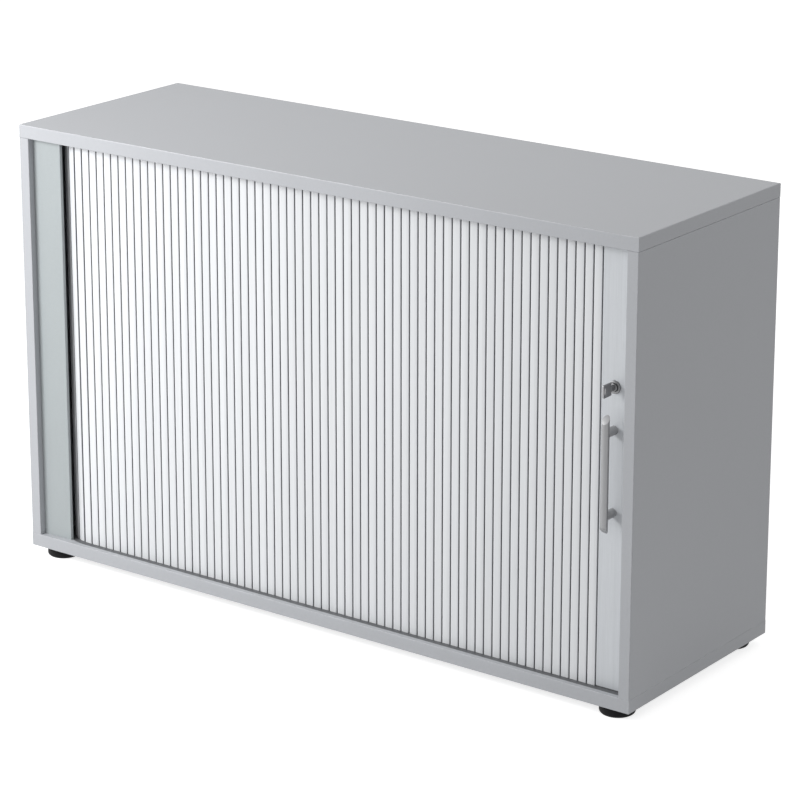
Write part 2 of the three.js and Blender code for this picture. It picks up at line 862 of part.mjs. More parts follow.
// The key: a square bow, a neck and a blade with its cuts.
function keySolid() {
  const halfBow = bowHeight / 2;
  const halfKey = keyHeight / 2;
  const bow = roundedRectangle(keyFrontY, lockZ - halfBow, bowRearY, lockZ + halfBow, bowCorner);
  const bladeEnd = plugFrontY + keyBlade;
  const neck = box(
    [fittingX - bowThickness / 2, bowRearY - bowCorner, lockZ - halfKey],
    [fittingX + bowThickness / 2, plugFrontY - fitGap, lockZ + halfKey],
  );
  const blade = new THREE.Shape();
  blade.moveTo(plugFrontY - keyNeck / 2, lockZ + halfKey);
  blade.lineTo(plugFrontY - keyNeck / 2, lockZ - halfKey);
  keyCutDepths.forEach((depth, i) => {
    const start = plugFrontY + keyCutStart + i * keyCutPitch;
    blade.lineTo(start, lockZ - halfKey);
    blade.lineTo(start + keyCutPitch / 2, lockZ - halfKey + depth);
  });
  blade.lineTo(bladeEnd, lockZ);
  blade.lineTo(bladeEnd - halfKey, lockZ + halfKey);
  return join(
    sidePrism(bow, fittingX - bowThickness / 2, fittingX + bowThickness / 2),
    neck,
    sidePrism(blade, fittingX - keyThickness / 2, fittingX + keyThickness / 2),
  );
}

function strikeEdges() {
  const slotY = (hookFrontY + hookRearY) / 2;
  return [slotY - strikeWidth / 2, slotY + strikeWidth / 2];
}

function strikeMiddleZ() {
  return lockZ + (strikeSlotRise - strikeSlotDrop) / 2;
}

function strikeScrewHeights() {
  const reach = strikeLength / 2 - strikeScrewInset;
  return [strikeMiddleZ() + reach, strikeMiddleZ() - reach];
}

function strikePlate() {
  const [frontY, rearY] = strikeEdges();
  const slotY = (frontY + rearY) / 2;
  const half = strikeLength / 2;
  const outline = roundedRectangle(
    frontY, strikeMiddleZ() - half, rearY, strikeMiddleZ() + half, arrisRadius,
  );
  const slot = box(
    [rightX - cutOverrun, slotY - strikeSlotWidth / 2, lockZ - strikeSlotDrop],
    [rightX + strikeThickness + cutOverrun, slotY + strikeSlotWidth / 2, lockZ + strikeSlotRise],
  );
  const holes = strikeScrewHeights().map((z) =>
    crossRod(
      [rightX - cutOverrun, slotY, z], strikeScrewHead + fitGap,
      strikeThickness + cutOverrun * 2, smallRoundSteps,
    ),
  );
  return cut(sidePrism(outline, rightX, rightX + strikeThickness), slot, ...holes);
}

function strikeScrew(z) {
  const slotY = (hookFrontY + hookRearY) / 2;
  return join(
    crossRod([rightX, slotY, z], strikeScrewHead, strikeThickness),
    crossRod([rightX, slotY, z], strikeScrewDiameter, strikeScrewLength),
  );
}

function shelf() {
  const outline = roundedRectangle(
    innerSideFaceX + shelfSideGap, shelfSetback, rightX - shelfSideGap, shelfRearY,
    arrisRadius,
  );
  return prism(outline, shelfZ, shelfZ + shelfThickness);
}

// A shelf pin; into is the way into the panel that holds it.
function shelfPin(faceX, into, y) {
  const seatX = into > 0 ? faceX : faceX - pinSeat;
  const collarX = into > 0 ? faceX - contactGap - pinReach : faceX + contactGap;
  const startX = Math.min(seatX, collarX);
  const endX = Math.max(seatX + pinSeat, collarX + pinReach);
  return join(
    crossRod([startX, y, pinZ], pinDiameter, endX - startX),
    crossRod([collarX, y, pinZ], pinCollar, pinReach),
  );
}

function dowel(x, y, z) {
  return uprightRod([x, y, z], dowelDiameter, dowelInPlate + dowelInSide);
}

// A foot's base: a thick plastic disc, narrower at the floor, with a seat for the stem.
function footBase([x, y]) {
  const radius = footDiameter / 2;
  const profile = [
    new THREE.Vector2(0, -footHeight),
    new THREE.Vector2(footWaist / 2, -footHeight),
    new THREE.Vector2(radius, footRim - footHeight),
    new THREE.Vector2(radius, -footRim),
    new THREE.Vector2(radius - footRim / 2, -fitGap),
    new THREE.Vector2(0, -fitGap),
  ];
  const disc = new THREE.LatheGeometry(profile, roundSteps).rotateX(Math.PI / 2);
  return cut(
    solid(disc.translate(x, y, 0)),
    uprightRod(
      [x, y, -stemInBase - fitGap], stemDiameter + threadGap * 2, stemInBase + cutOverrun,
    ),
    uprightRod(
      [x, y, -stemCollarHeight - fitGap * 2], stemCollar + fitGap * 2,
      stemCollarHeight + cutOverrun + fitGap, roundSteps,
    ),
  );
}

function footStem([x, y]) {
  return join(
    uprightRod([x, y, -stemInBase], stemDiameter, stemInBase + stemEngagement),
    uprightRod(
      [x, y, -stemCollarHeight - fitGap], stemCollar, stemCollarHeight - fitGap, hexSides,
    ),
  );
}

function footInsert([x, y]) {
  return cut(
    join(
      uprightRod([x, y, fitGap], insertDiameter, insertHeight - fitGap),
      uprightRod([x, y, fitGap], insertFlange, insertFlangeThickness),
    ),
    uprightRod(
      [x, y, -cutOverrun], stemDiameter + threadGap * 2, insertHeight + cutOverrun * 2,
    ),
  );
}

place("top_panel", topPanel(), finishes.board);
place("bottom_panel", bottomPanel(), finishes.board);
place("left_side_panel", sidePanel(0, leftX, leftX, -1), finishes.board);
place("right_side_panel", rightSidePanel(), finishes.board);
place("outer_back_panel", outerBack(), finishes.backBoard);
place("inner_back_panel", innerBack(), finishes.backBoard);
place("inner_side_panel", innerSide(), finishes.board);
place("cover_strip", coverStrip(), finishes.strip);
place("top_track", track(ceilingZ, 1), finishes.track);
place("bottom_track", track(floorZ, -1), finishes.track);
curtain();

place("leading_rail", leadingRail(), finishes.rail);
place("rail_glide_bottom", railGlide(-1), finishes.track);
place("rail_glide_top", railGlide(1), finishes.track);
place("handle_bar", handleBar(), finishes.handle);
postHeights().forEach((z, i) => {
  const end = i === 0 ? "upper" : "lower";
  place("handle_post_" + end, handlePost(z), finishes.handle);
  place("handle_screw_" + end, handleScrew(z), finishes.steel);
});

place("lock_barrel", lockBarrel(), finishes.lock);
place("lock_nut", lockNut(), finishes.steel);
place("lock_plug", lockPlug(), finishes.lock);
place("hook_bolt", hookBolt(), finishes.steel);
place("hook_screw", hookScrew(), finishes.steel);
place("key", keySolid(), finishes.key);
place("strike_plate", strikePlate(), finishes.steel);
strikeScrewHeights().forEach((z, i) => {
  place("strike_screw_" + (i === 0 ? "upper" : "lower"), strikeScrew(z), finishes.steel);
});

place("shelf", shelf(), finishes.board);
for (const [end, y] of [["front", pinFrontY], ["rear", pinRearY]]) {
  place("shelf_pin_" + end + "_left", shelfPin(innerSideFaceX, -1, y), finishes.steel);
  place("shelf_pin_" + end + "_right", shelfPin(rightX, 1, y), finishes.steel);
}

for (const [corner, [x, y]] of Object.entries(dowelPlaces)) {
  place("dowel_bottom_" + corner, dowel(x, y, floorZ - dowelInPlate), finishes.dowel);
  place("dowel_top_" + corner, dowel(x, y, ceilingZ - dowelInSide), finishes.dowel);
}

for (const [corner, spot] of Object.entries(footPlaces)) {
  place("foot_base_" + corner, footBase(spot), finishes.blackPlastic);
  place("foot_stem_" + corner, footStem(spot), finishes.steel);
  place("foot_insert_" + corner, footInsert(spot), finishes.steel);
}

export default cabinet;
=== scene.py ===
"""Dresses the tambour door cabinet: coats the boards, makes the slats, fittings and feet."""

import math

import bmesh
import bpy
from bpy.props import FloatProperty, FloatVectorProperty, IntProperty, PointerProperty
from mathutils import Matrix, Vector


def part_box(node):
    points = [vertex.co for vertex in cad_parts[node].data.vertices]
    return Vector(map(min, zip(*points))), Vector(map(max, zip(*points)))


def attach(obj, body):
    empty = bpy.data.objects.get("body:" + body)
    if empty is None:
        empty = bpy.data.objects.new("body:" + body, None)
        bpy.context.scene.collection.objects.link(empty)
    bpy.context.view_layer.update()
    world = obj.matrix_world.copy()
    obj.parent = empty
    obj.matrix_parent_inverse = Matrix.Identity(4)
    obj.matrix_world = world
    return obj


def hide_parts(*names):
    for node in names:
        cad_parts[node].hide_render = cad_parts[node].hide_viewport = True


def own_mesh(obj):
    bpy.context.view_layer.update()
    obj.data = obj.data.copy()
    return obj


bl_info = {
    "name": "Tambour door cabinet",
    "version": (1, 0, 0),
    "blender": (4, 5, 0),
    "location": "3D View > Sidebar > Cabinet",
    "description": "Dresses a tambour door cabinet and sets up its studio",
    "category": "Object",
}

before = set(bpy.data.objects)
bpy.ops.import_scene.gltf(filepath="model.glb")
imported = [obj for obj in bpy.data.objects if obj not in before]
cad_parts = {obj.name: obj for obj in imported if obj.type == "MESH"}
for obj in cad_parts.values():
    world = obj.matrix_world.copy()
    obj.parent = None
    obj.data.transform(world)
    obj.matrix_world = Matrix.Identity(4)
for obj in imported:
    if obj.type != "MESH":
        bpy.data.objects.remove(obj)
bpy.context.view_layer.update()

CORNERS = ("front_left", "front_right", "rear_left", "rear_right")
FRONT_SECTIONS = tuple("curtain_section_%d" % n for n in range(1, 6))
PHOTO_SIDE_PX = 800
SENSOR_WIDTH_MM = 36.0
MERGE_DISTANCE = 1e-7
MICRON_DIGITS = 6

# Which directions of a board carry no edging, for the joint lines of its coating
EDGED_ALL_ROUND = (0.0, 0.0, 1.0)
EDGED_FRONT_AND_REAR = (1.0, 0.0, 1.0)
NOT_EDGED = (1.0, 1.0, 1.0)


def shade(name, description, default):
    """A colour that the user can change, in linear values."""
    return FloatVectorProperty(
        name=name, description=description, default=default,
        subtype="COLOR", size=3, min=0.0, max=1.0,
    )


def measure(name, description, default):
    """A length in metres that the user can change."""
    return FloatProperty(
        name=name, description=description, default=default,
        unit="LENGTH", subtype="DISTANCE", min=0.0, precision=5,
    )


class CabinetColours(bpy.types.PropertyGroup):
    """Colours of the cabinet's finishes."""

    board: shade("Board", "Silver-grey coating of the boards", (0.413, 0.424, 0.446))
    back_board: shade("Back board", "Coating of the two backs", (0.44, 0.444, 0.452))
    strip: shade("Cover strip", "Coating of the fixed strip", (0.338, 0.367, 0.375))
    slat: shade("Slats", "Plastic of the curtain's slats", (0.70, 0.713, 0.731))
    # This darker plastic goes on the web and on the slats' gap walls: partly soft web plastic,
    # partly painted shade in the grooves.
    joint_and_groove_shade: shade("Slat joints", "Soft plastic between the slats", (0.268, 0.277, 0.297))
    track: shade("Tracks", "Plastic of the tracks and glides", (0.1, 0.104, 0.11))
    rail: shade("Leading rail", "Anodised leading rail", (0.556, 0.576, 0.6))
    handle: shade("Handle", "Satin metal of the handle", (0.33, 0.332, 0.34))
    # The cut ends are lighter: partly bare metal, partly a painted highlight in place of the lamp's
    # gleam.
    handle_end_and_highlight: shade("Handle ends", "Bare metal of the cut ends", (0.4, 0.402, 0.41))
    post: shade("Handle posts", "Cast metal of the handle's posts", (0.4, 0.402, 0.41))
    lock: shade("Lock", "Dull plating of the lock", (0.2, 0.2, 0.205))
    key: shade("Key", "Dark metal of the key", (0.31, 0.31, 0.317))
    steel: shade("Steel", "Zinc plating of screws and plates", (0.48, 0.48, 0.49))
    foot: shade("Feet", "Black plastic of the feet", (0.005, 0.005, 0.006))
    dowel: shade("Dowels", "Raw beech of the dowels", (0.58, 0.36, 0.17))
    floor: shade("Floor", "Studio floor", (0.6, 0.6, 0.602))


class CabinetSizes(bpy.types.PropertyGroup):
    """Sizes of the pieces that are made here."""

    slat_pitch: measure("Slat pitch", "From one slat to the next", 0.01578)
    slat_groove: measure("Slat groove", "Gap between two slats", 0.002)
    slat_rounding: measure("Slat rounding", "Radius of a slat's front edges", 0.0011)
    slat_depth: measure("Slat depth", "Front to back of a slat", 0.008)
    web_thickness: measure("Web", "Thickness of the web between slats", 0.0012)
    web_depth: measure("Web depth", "The web's middle behind the slats' front", 0.0069)
    bend_radius: measure("Bend", "Radius of the curtain's front at the corner", 0.07)
    post_diameter: measure("Post", "Diameter of a handle post", 0.014)
    handle_rounding: measure("Handle rounding", "Softened ends of the handle", 0.0004)
    edge_band: measure("Edge band", "Thickness of the boards' edging", 0.002)
    thread_pitch: measure("Thread pitch", "From one thread ring to the next", 0.001)
    screw_shank: measure("Handle screw", "Diameter of the handle screws' shank", 0.004)
    small_shank: measure("Small screw", "Diameter of the small screws' shank", 0.003)
    barrel_diameter: measure("Lock barrel", "Diameter behind the lock's flange", 0.016)
    lock_bore: measure("Lock bore", "Bore that the plug turns in", 0.0126)
    flange_thickness: measure("Lock flange", "Thickness of the lock's flange", 0.0025)
    plug_tail: measure("Plug tail", "Width of the plug's square tail", 0.007)
    keyway_width: measure("Keyway width", "Width of the slot for the key", 0.0025)
    keyway_height: measure("Keyway height", "Height of the slot for the key", 0.0094)
    keyway_depth: measure("Keyway depth", "Depth of the slot for the key", 0.0133)
    bow_length: measure("Bow length", "Length of the key's bow", 0.021)
    bow_corner: measure("Bow corner", "Corner radius of the key's bow", 0.002)
    key_thickness: measure("Blade thickness", "Thickness of the key's blade", 0.002)
    key_height: measure("Blade height", "Height of the key's blade", 0.0088)
    key_cut_start: measure("First cut", "From the plug's face to the first cut", 0.0025)
    key_cut_pitch: measure("Cut pitch", "From one cut to the next", 0.002)
    key_rounding: measure("Key rounding", "Softened edges of the key", 0.0003)
    pin_diameter: measure("Pin", "Diameter of a shelf pin in its hole", 0.005)
    stem_diameter: measure("Stem", "Diameter of a foot's stem", 0.008)
    tail_slats: IntProperty(
        name="Tail slats", description="Slats behind the corner", default=7, min=1, max=20,
    )


def colours():
    return bpy.context.scene.cabinet_colours


def sizes():
    return bpy.context.scene.cabinet_sizes


groups = {}


class NodeSheet:
    """Adds nodes to a node tree and links them as it goes."""

    STEP = 190
    DROP = 60
    ROWS = 5

    def __init__(self, tree):
        self.tree = tree
        self.column = 0

    def new(self, kind, values=None, **settings):
        node = self.tree.nodes.new(kind)
        node.location = (self.column, -self.DROP * (self.column // self.STEP % self.ROWS))
        self.column += self.STEP
        for setting, value in settings.items():
            setattr(node, setting, value)
        for socket, value in (values or {}).items():
            self.feed(node.inputs[socket], value)
        return node

    def feed(self, socket, value):
        if isinstance(value, bpy.types.NodeSocket):
            self.tree.links.new(value, socket)
        else:
            socket.default_value = value

    def math(self, operation, first, second=0.0, clamp=False):
        node = self.new("ShaderNodeMath", {0: first, 1: second}, operation=operation)
        node.use_clamp = clamp
        return node.outputs[0]

    def weighed(self, first, share, second):
        """The first value by its share, and the second by what is left."""
        kept = self.math("MULTIPLY", first, share)
        return self.math("ADD", kept, self.math("MULTIPLY", second, 1.0 - share))

    def split(self, vector):
        """The three parts of a vector."""
        return self.new("ShaderNodeSeparateXYZ", {0: vector}).outputs

    def vector(self, operation, first, second=(0.0, 0.0, 0.0)):
        node = self.new("ShaderNodeVectorMath", {0: first, 1: second}, operation=operation)
        return node.outputs[0]

    def ranged(self, value, start, end, low=0.0, high=1.0, **settings):
        """The value, moved from the range start to end into that of low to high."""
        values = {"Value": value, "From Min": start, "From Max": end, "To Min": low, "To Max": high}
        return self.new("ShaderNodeMapRange", values, **settings).outputs[0]

    def fade(self, value, start, end):
        """1 at start, 0 at end, smooth between them."""
        return self.ranged(value, start, end, 1.0, 0.0, interpolation_type="SMOOTHSTEP")

    def noise(self, vector, scale, detail=3.0, roughness=0.55):
        values = {"Vector": vector, "Scale": scale, "Detail": detail, "Roughness": roughness}
        return self.new("ShaderNodeTexNoise", values).outputs[0]

    def mix(self, share, first, second):
        """A mix of two colours by a share from 0 to 1."""
        node = self.new("ShaderNodeMix", data_type="RGBA")
        self.feed(node.inputs[0], share)
        self.feed(node.inputs[6], first)
        self.feed(node.inputs[7], second)
        return node.outputs[2]

    def group(self, name, position, **values):
        """What a node group of that name gives at a position."""
        node = self.new("ShaderNodeGroup", node_tree=groups[name])
        for socket, value in {"Position": position, **values}.items():
            self.feed(node.inputs[socket], value)
        return node.outputs


VECTOR = ("NodeSocketVector", (0.0, 0.0, 0.0))


def scalar(default):
    """A number socket of a node group, with its default."""
    return ("NodeSocketFloat", default)


def open_group(name, inputs, outputs):
    """A new shader node group with named sockets: its sheet, and what its inputs give."""
    tree = bpy.data.node_groups.new(name, "ShaderNodeTree")
    for socket, (kind, default) in inputs.items():
        made = tree.interface.new_socket(socket, in_out="INPUT", socket_type=kind)
        made.default_value = default
    for socket in outputs:
        tree.interface.new_socket(socket, in_out="OUTPUT", socket_type="NodeSocketFloat")
    sheet = NodeSheet(tree)
    return sheet, sheet.new("NodeGroupInput").outputs


def close_group(sheet, values):
    """Links the values to a group's outputs and gives its tree."""
    sheet.new("NodeGroupOutput", values)
    return sheet.tree


SEAM_HALF_WIDTH = 0.00006
SEAM_FADED = 0.00022


def box_edge_group():
    """Lighter arrises of a box, broken up by noise: partly wear, partly a painted highlight. Also
    gives the seam line of its edging.
    """
    sheet, given = open_group(
        "box edges",
        {
            "Position": VECTOR,
            "Centre": VECTOR,
            "Half": VECTOR,
            "Unedged": VECTOR,
            "Reach": scalar(0.002),
            "Band": scalar(0.002),
        },
        ("Wear", "Seam"),
    )
    offset = sheet.vector("ABSOLUTE", sheet.vector("SUBTRACT", given["Position"], given["Centre"]))
    depth = sheet.vector("SUBTRACT", given["Half"], offset)
    x, y, z = sheet.split(depth)
    low, high = sheet.math("MINIMUM", x, y), sheet.math("MAXIMUM", x, y)
    second = sheet.math("MAXIMUM", low, sheet.math("MINIMUM", high, z))
    near = sheet.fade(second, 0.0, given["Reach"])
    patches = sheet.noise(given["Position"], 45.0, 4.0, 0.6)
    wear_and_highlight = sheet.math("MULTIPLY", near, sheet.fade(patches, 0.62, 0.38), clamp=True)
    x, y, z = sheet.split(sheet.vector("ADD", depth, given["Unedged"]))
    nearest = sheet.math("MINIMUM", x, sheet.math("MINIMUM", y, z))
    away = sheet.math("ABSOLUTE", sheet.math("SUBTRACT", nearest, given["Band"]))
    seam = sheet.fade(away, SEAM_HALF_WIDTH, SEAM_FADED)
    return close_group(sheet, {"Wear": wear_and_highlight, "Seam": seam})


def pearl_group():
    """The fine pearl grain of a silver coating, with soft clouds and an orange-peel height."""
    sheet, given = open_group(
        "pearl coating", {"Position": VECTOR, "Grain": scalar(900.0)}, ("Tone", "Height"),
    )
    grain = sheet.noise(given["Position"], given["Grain"], 2.0, 0.7)
    clouds = sheet.noise(given["Position"], 7.0, 3.0, 0.5)
    fibres = sheet.noise(given["Position"], 160.0, 3.0, 0.6)
    tone = sheet.math("MULTIPLY", grain, 0.55)
    tone = sheet.math("ADD", tone, sheet.math("MULTIPLY", clouds, 0.25))
    tone = sheet.math("ADD", tone, sheet.math("MULTIPLY", fibres, 0.2))
    peel = sheet.noise(given["Position"], 420.0, 2.0, 0.5)
    return close_group(sheet, {"Tone": tone, "Height": peel})


def drawn_group():
    """Fine lines along a drawn or brushed profile, which run along the position's Z axis."""
    sheet, given = open_group(
        "drawn lines", {"Position": VECTOR, "Fineness": scalar(1500.0)}, ("Tone", "Height"),
    )
    stretched = sheet.vector("MULTIPLY", given["Position"], (1.0, 1.0, 0.012))
    lines = sheet.noise(stretched, given["Fineness"], 3.0, 0.6)
    broad = sheet.noise(stretched, 120.0, 2.0, 0.5)
    return close_group(sheet, {"Tone": sheet.weighed(lines, 0.6, broad), "Height": lines})


def dust_group():
    """Light dust and handling marks, as a mask."""
    sheet, given = open_group("dust", {"Position": VECTOR, "Spread": scalar(30.0)}, ("Dust",))
    patches = sheet.noise(given["Position"], given["Spread"], 5.0, 0.65)
    specks = sheet.noise(given["Position"], 1400.0, 1.0, 0.5)
    dust = sheet.math("MULTIPLY", sheet.fade(patches, 0.7, 0.42), sheet.fade(specks, 0.66, 0.5))
    return close_group(sheet, {"Dust": dust})


def build_groups():
    groups["edges"] = box_edge_group()
    groups["pearl"] = pearl_group()
    groups["drawn"] = drawn_group()
    groups["dust"] = dust_group()


def material(name):
    """A new node material: its sheet, the surface shader and the object coordinates."""
    made = bpy.data.materials.new(name)
    made.use_nodes = True
    sheet = NodeSheet(made.node_tree)
    surface = made.node_tree.nodes["Principled BSDF"]
    position = sheet.new("ShaderNodeTexCoord").outputs["Object"]
    return made, sheet, surface, position


def rgba(colour, gain=1.0):
    """A colour of four parts, lightened or darkened by a gain."""
    return (*(min(1.0, part * gain) for part in colour), 1.0)


def tinted(sheet, colour, tone, spread):
    """The colour, darker and lighter by spread as tone goes from 0.3 to 0.7."""
    share = sheet.ranged(tone, 0.3, 0.7)
    return sheet.mix(share, rgba(colour, 1.0 - spread), rgba(colour, 1.0 + spread))


def varied(sheet, tone, low, high):
    """A roughness that goes from low to high with the tone."""
    return sheet.ranged(tone, 0.25, 0.75, low, high)


def coat(sheet, surface, base, roughness, height, depth):
    """Feeds a finish's colour, its roughness and its bump, of a depth in metres, to its shader."""
    bump = sheet.new("ShaderNodeBump", {"Height": height, "Distance": depth, "Strength": 1.0})
    sheet.feed(surface.inputs["Base Color"], base)
    sheet.feed(surface.inputs["Roughness"], roughness)
    sheet.feed(surface.inputs["Normal"], bump.outputs[0])


def coated_board(name, node, colour, not_edged):
    """Melamine-coated board: pearl grain, edging with its seam line, arrises lighter by wear and a
    painted highlight.
    """
    made, sheet, surface, position = material(name)
    low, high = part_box(node)
    edges = sheet.group(
        "edges", position, Centre=(low + high) / 2, Half=(high - low) / 2, Unedged=not_edged,
        Band=sizes().edge_band,
    )
    pearl = sheet.group("pearl", position)
    base = tinted(sheet, colour, pearl["Tone"], 0.05)
    base = sheet.mix(sheet.math("MULTIPLY", edges["Seam"], 0.3), base, rgba(colour, 0.5))
    # Lighter along the arrises: partly wear, partly a painted highlight.
    base = sheet.mix(sheet.math("MULTIPLY", edges["Wear"], 0.35), base, rgba(colour, 1.35))
    height = sheet.math("SUBTRACT", pearl["Height"], sheet.math("MULTIPLY", edges["Seam"], 2.0))
    coat(sheet, surface, base, varied(sheet, pearl["Tone"], 0.38, 0.5), height, 0.00003)
    return made


def slat_plastic(name, colour):
    """Extruded plastic with drawn lines along each slat and a slightly different tone per slat."""
    made, sheet, surface, position = material(name)
    lines = sheet.group("drawn", position, Fineness=900.0)
    across = sheet.split(position)[0]
    count = sheet.math("FLOOR", sheet.math("DIVIDE", across, sizes().slat_pitch))
    own_tone = sheet.new("ShaderNodeTexWhiteNoise", {"W": count}, noise_dimensions="1D").outputs[0]
    tone = sheet.weighed(lines["Tone"], 0.7, own_tone)
    roughness = varied(sheet, lines["Tone"], 0.34, 0.46)
    coat(sheet, surface, tinted(sheet, colour, tone, 0.035), roughness, lines["Height"], 0.00002)
    return made


def satin_metal(name, colour, rough, fineness=1500.0, metallic=1.0, spread=0.08):
    """Metal with fine lines along its length and faint handling marks."""
    made, sheet, surface, position = material(name)
    lines = sheet.group("drawn", position, Fineness=fineness)
    marks = sheet.group("dust", position, Spread=60.0)
    base = tinted(sheet, colour, lines["Tone"], spread)
    base = sheet.mix(sheet.math("MULTIPLY", marks["Dust"], 0.2), base, rgba(colour, 0.8))
    surface.inputs["Metallic"].default_value = metallic
    roughness = varied(sheet, lines["Tone"], rough - 0.05, rough + 0.08)
    coat(sheet, surface, base, roughness, lines["Height"], 0.00001)
    return made


DUST_COLOUR = (0.5, 0.49, 0.47, 1.0)


def moulded_plastic(name, colour, rough, dust_share=0.12, gloss=0.5):
    """Moulded plastic with a fine spark-eroded grain and a little dust."""
    made, sheet, surface, position = material(name)
    grain = sheet.noise(position, 2200.0, 2.0, 0.6)
    dust = sheet.group("dust", position)
    base = tinted(sheet, colour, grain, 0.12)
    base = sheet.mix(sheet.math("MULTIPLY", dust["Dust"], dust_share), base, DUST_COLOUR)
    surface.inputs["Specular IOR Level"].default_value = gloss
    coat(sheet, surface, base, varied(sheet, grain, rough - 0.06, rough + 0.08), grain, 0.00002)
    return made


def raw_beech(name, colour):
    """Raw beech with its fibres along the dowel."""
    made, sheet, surface, position = material(name)
    fibres = sheet.group("drawn", position, Fineness=700.0)
    base = tinted(sheet, colour, fibres["Tone"], 0.25)
    coat(sheet, surface, base, 0.75, fibres["Height"], 0.0001)
    return made


finishes = {}


def finish(name, maker, *facts):
    """The finish of that name, made on first use."""
    if name not in finishes:
        finishes[name] = maker(name, *facts)
    return finishes[name]


def steel():
    return finish("zinc plated steel", satin_metal, colours().steel, 0.3, 2500.0)


def added(name, data):
    """A new object in the scene."""
    made = bpy.data.objects.new(name, data)
    bpy.context.scene.collection.objects.link(made)
    return made


def dress(node, made):
    """Gives a CAD node its finish."""
    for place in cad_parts[node].material_slots:
        place.material = made


def in_order(bm):
    """The same shape with its vertices and faces sorted, as operators leave them in any order."""
    verts = sorted(bm.verts, key=lambda vert: [round(part, MICRON_DIGITS) for part in vert.co])
    for index, vert in enumerate(verts):
        vert.index = index
    rings = []
    for face in bm.faces:
        ring = [vert.index for vert in face.verts]
        first = ring.index(min(ring))
        rings.append((ring[first:] + ring[:first], face.material_index))
    made = bmesh.new()
    corners = [made.verts.new(vert.co) for vert in verts]
    for ring, slot in sorted(rings):
        made.faces.new([corners[index] for index in ring]).material_index = slot
    bm.free()
    return made


def settle(bm, name, made, body, replaced=(), sharp=35.0, place=None):
    """Moves a bmesh to its place and turns it into a piece that rides on a body."""
    bmesh.ops.remove_doubles(bm, verts=bm.verts, dist=MERGE_DISTANCE)
    if place:
        bmesh.ops.transform(bm, matrix=place, verts=bm.verts)
    bmesh.ops.recalc_face_normals(bm, faces=bm.faces)
    bm = in_order(bm)
    mesh = bpy.data.meshes.new(name)
    bm.to_mesh(mesh)
    bm.free()
    for face in mesh.polygons:
        face.use_smooth = True
    mesh.set_sharp_from_angle(angle=math.radians(sharp))
    for layer in made if isinstance(made, tuple) else (made,):
        mesh.materials.append(layer)
    piece = added(name, mesh)
    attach(piece, body)
    if replaced:
        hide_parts(*replaced)


def block(bm, low, high):
    """A box between two corners; gives its vertices."""
    low, high = Vector(low), Vector(high)
    place = Matrix.Translation((low + high) / 2) @ Matrix.Diagonal((*(high - low), 1.0))
    return bmesh.ops.create_cube(bm, size=1.0, matrix=place)["verts"]


def edges_along(verts, axis):
    """The edges among these vertices that run along an axis."""
    found = dict.fromkeys(edge for vert in verts for edge in vert.link_edges)
    return [e for e in found if abs((e.verts[0].co - e.verts[1].co).normalized()[axis]) > 0.99]


def soften(bm, edges, offset, segments=2):
    """Rounds edges by a radius."""
    bmesh.ops.bevel(
        bm, geom=edges, offset=offset, offset_type="OFFSET", segments=segments,
        profile=0.5, material=-1, affect="EDGES", clamp_overlap=True,
    )


def parts_of(result, kind, among="geom"):
    """The parts of one kind that an operator gives back."""
    return [part for part in result[among] if isinstance(part, kind)]


def everything(bm):
    return bm.verts[:] + bm.edges[:] + bm.faces[:]


UP = (0, 0, 1)


def turned(profile, steps, bm=None):
    """Spins a profile of (radius, height) points round the local Z axis, in a new mesh or in bm."""
    if bm is None:
        bm = bmesh.new()
    verts = [bm.verts.new((radius, 0.0, height)) for radius, height in profile]
    edges = [bm.edges.new(pair) for pair in zip(verts, verts[1:])]
    bmesh.ops.spin(
        bm, geom=verts + edges, cent=(0, 0, 0), axis=UP, dvec=(0, 0, 0),
        angle=math.tau, steps=steps, use_merge=True, use_duplicate=False,
    )
    bmesh.ops.remove_doubles(bm, verts=bm.verts, dist=MERGE_DISTANCE)
    return bm


THREAD_DEPTH_SHARE = 0.45


def threaded(radius, start, end, pitch):
    """Profile points of thread rings from start to end along the local Z axis."""
    rings = max(1, round((end - start) / pitch))
    step = (end - start) / rings
    root = radius - pitch * THREAD_DEPTH_SHARE
    points = [(root, start)]
    for ring in range(rings):
        points.append((radius, start + step * (ring + 0.5)))
        points.append((root, start + step * (ring + 1)))
    return points


def worn_rim(radius, size=0.0006):
    """Profile points that soften the rim of a turned shape's upper end."""
    return [(radius, -size), (radius - size / 3, -size / 3), (radius - size, 0.0)]


def lid_of(bm):
    """Closes the open rim of a turned shape with one face."""
    rim = [edge for edge in bm.edges if edge.is_boundary]
    lid = bmesh.ops.holes_fill(bm, edges=rim, sides=0)["faces"][0]
    bmesh.ops.recalc_face_normals(bm, faces=bm.faces)
    return lid


def sink(bm, lid, half_width, half_height, cross, depth, taper=1.0):
    """Sinks a slot, or a cross, into a lid that looks up local +Z."""
    parts = [lid]
    for offset, normal in (
        (half_width, (1, 0, 0)), (-half_width, (1, 0, 0)),
        (half_height, (0, 1, 0)), (-half_height, (0, 1, 0)),
    ):
        around = dict.fromkeys(edge for face in parts for edge in face.edges)
        corners = dict.fromkeys(vert for face in parts for vert in face.verts)
        cut = bmesh.ops.bisect_plane(
            bm, geom=[*parts, *around, *corners], plane_no=normal,
            plane_co=Vector(normal) * offset + Vector((0, 0, lid.verts[0].co.z)),
        )
        parts = parts_of(cut, bmesh.types.BMFace)
    inner = []
    for face in parts:
        centre = face.calc_center_median()
        within = (abs(centre.x) < half_width, abs(centre.y) < half_height)
        if any(within) if cross else all(within):
            inner.append(face)
    floor = parts_of(bmesh.ops.extrude_face_region(bm, geom=inner), bmesh.types.BMVert)
    bmesh.ops.translate(bm, vec=(0, 0, -depth), verts=floor)
    bmesh.ops.scale(bm, vec=(taper, taper, 1.0), verts=floor)


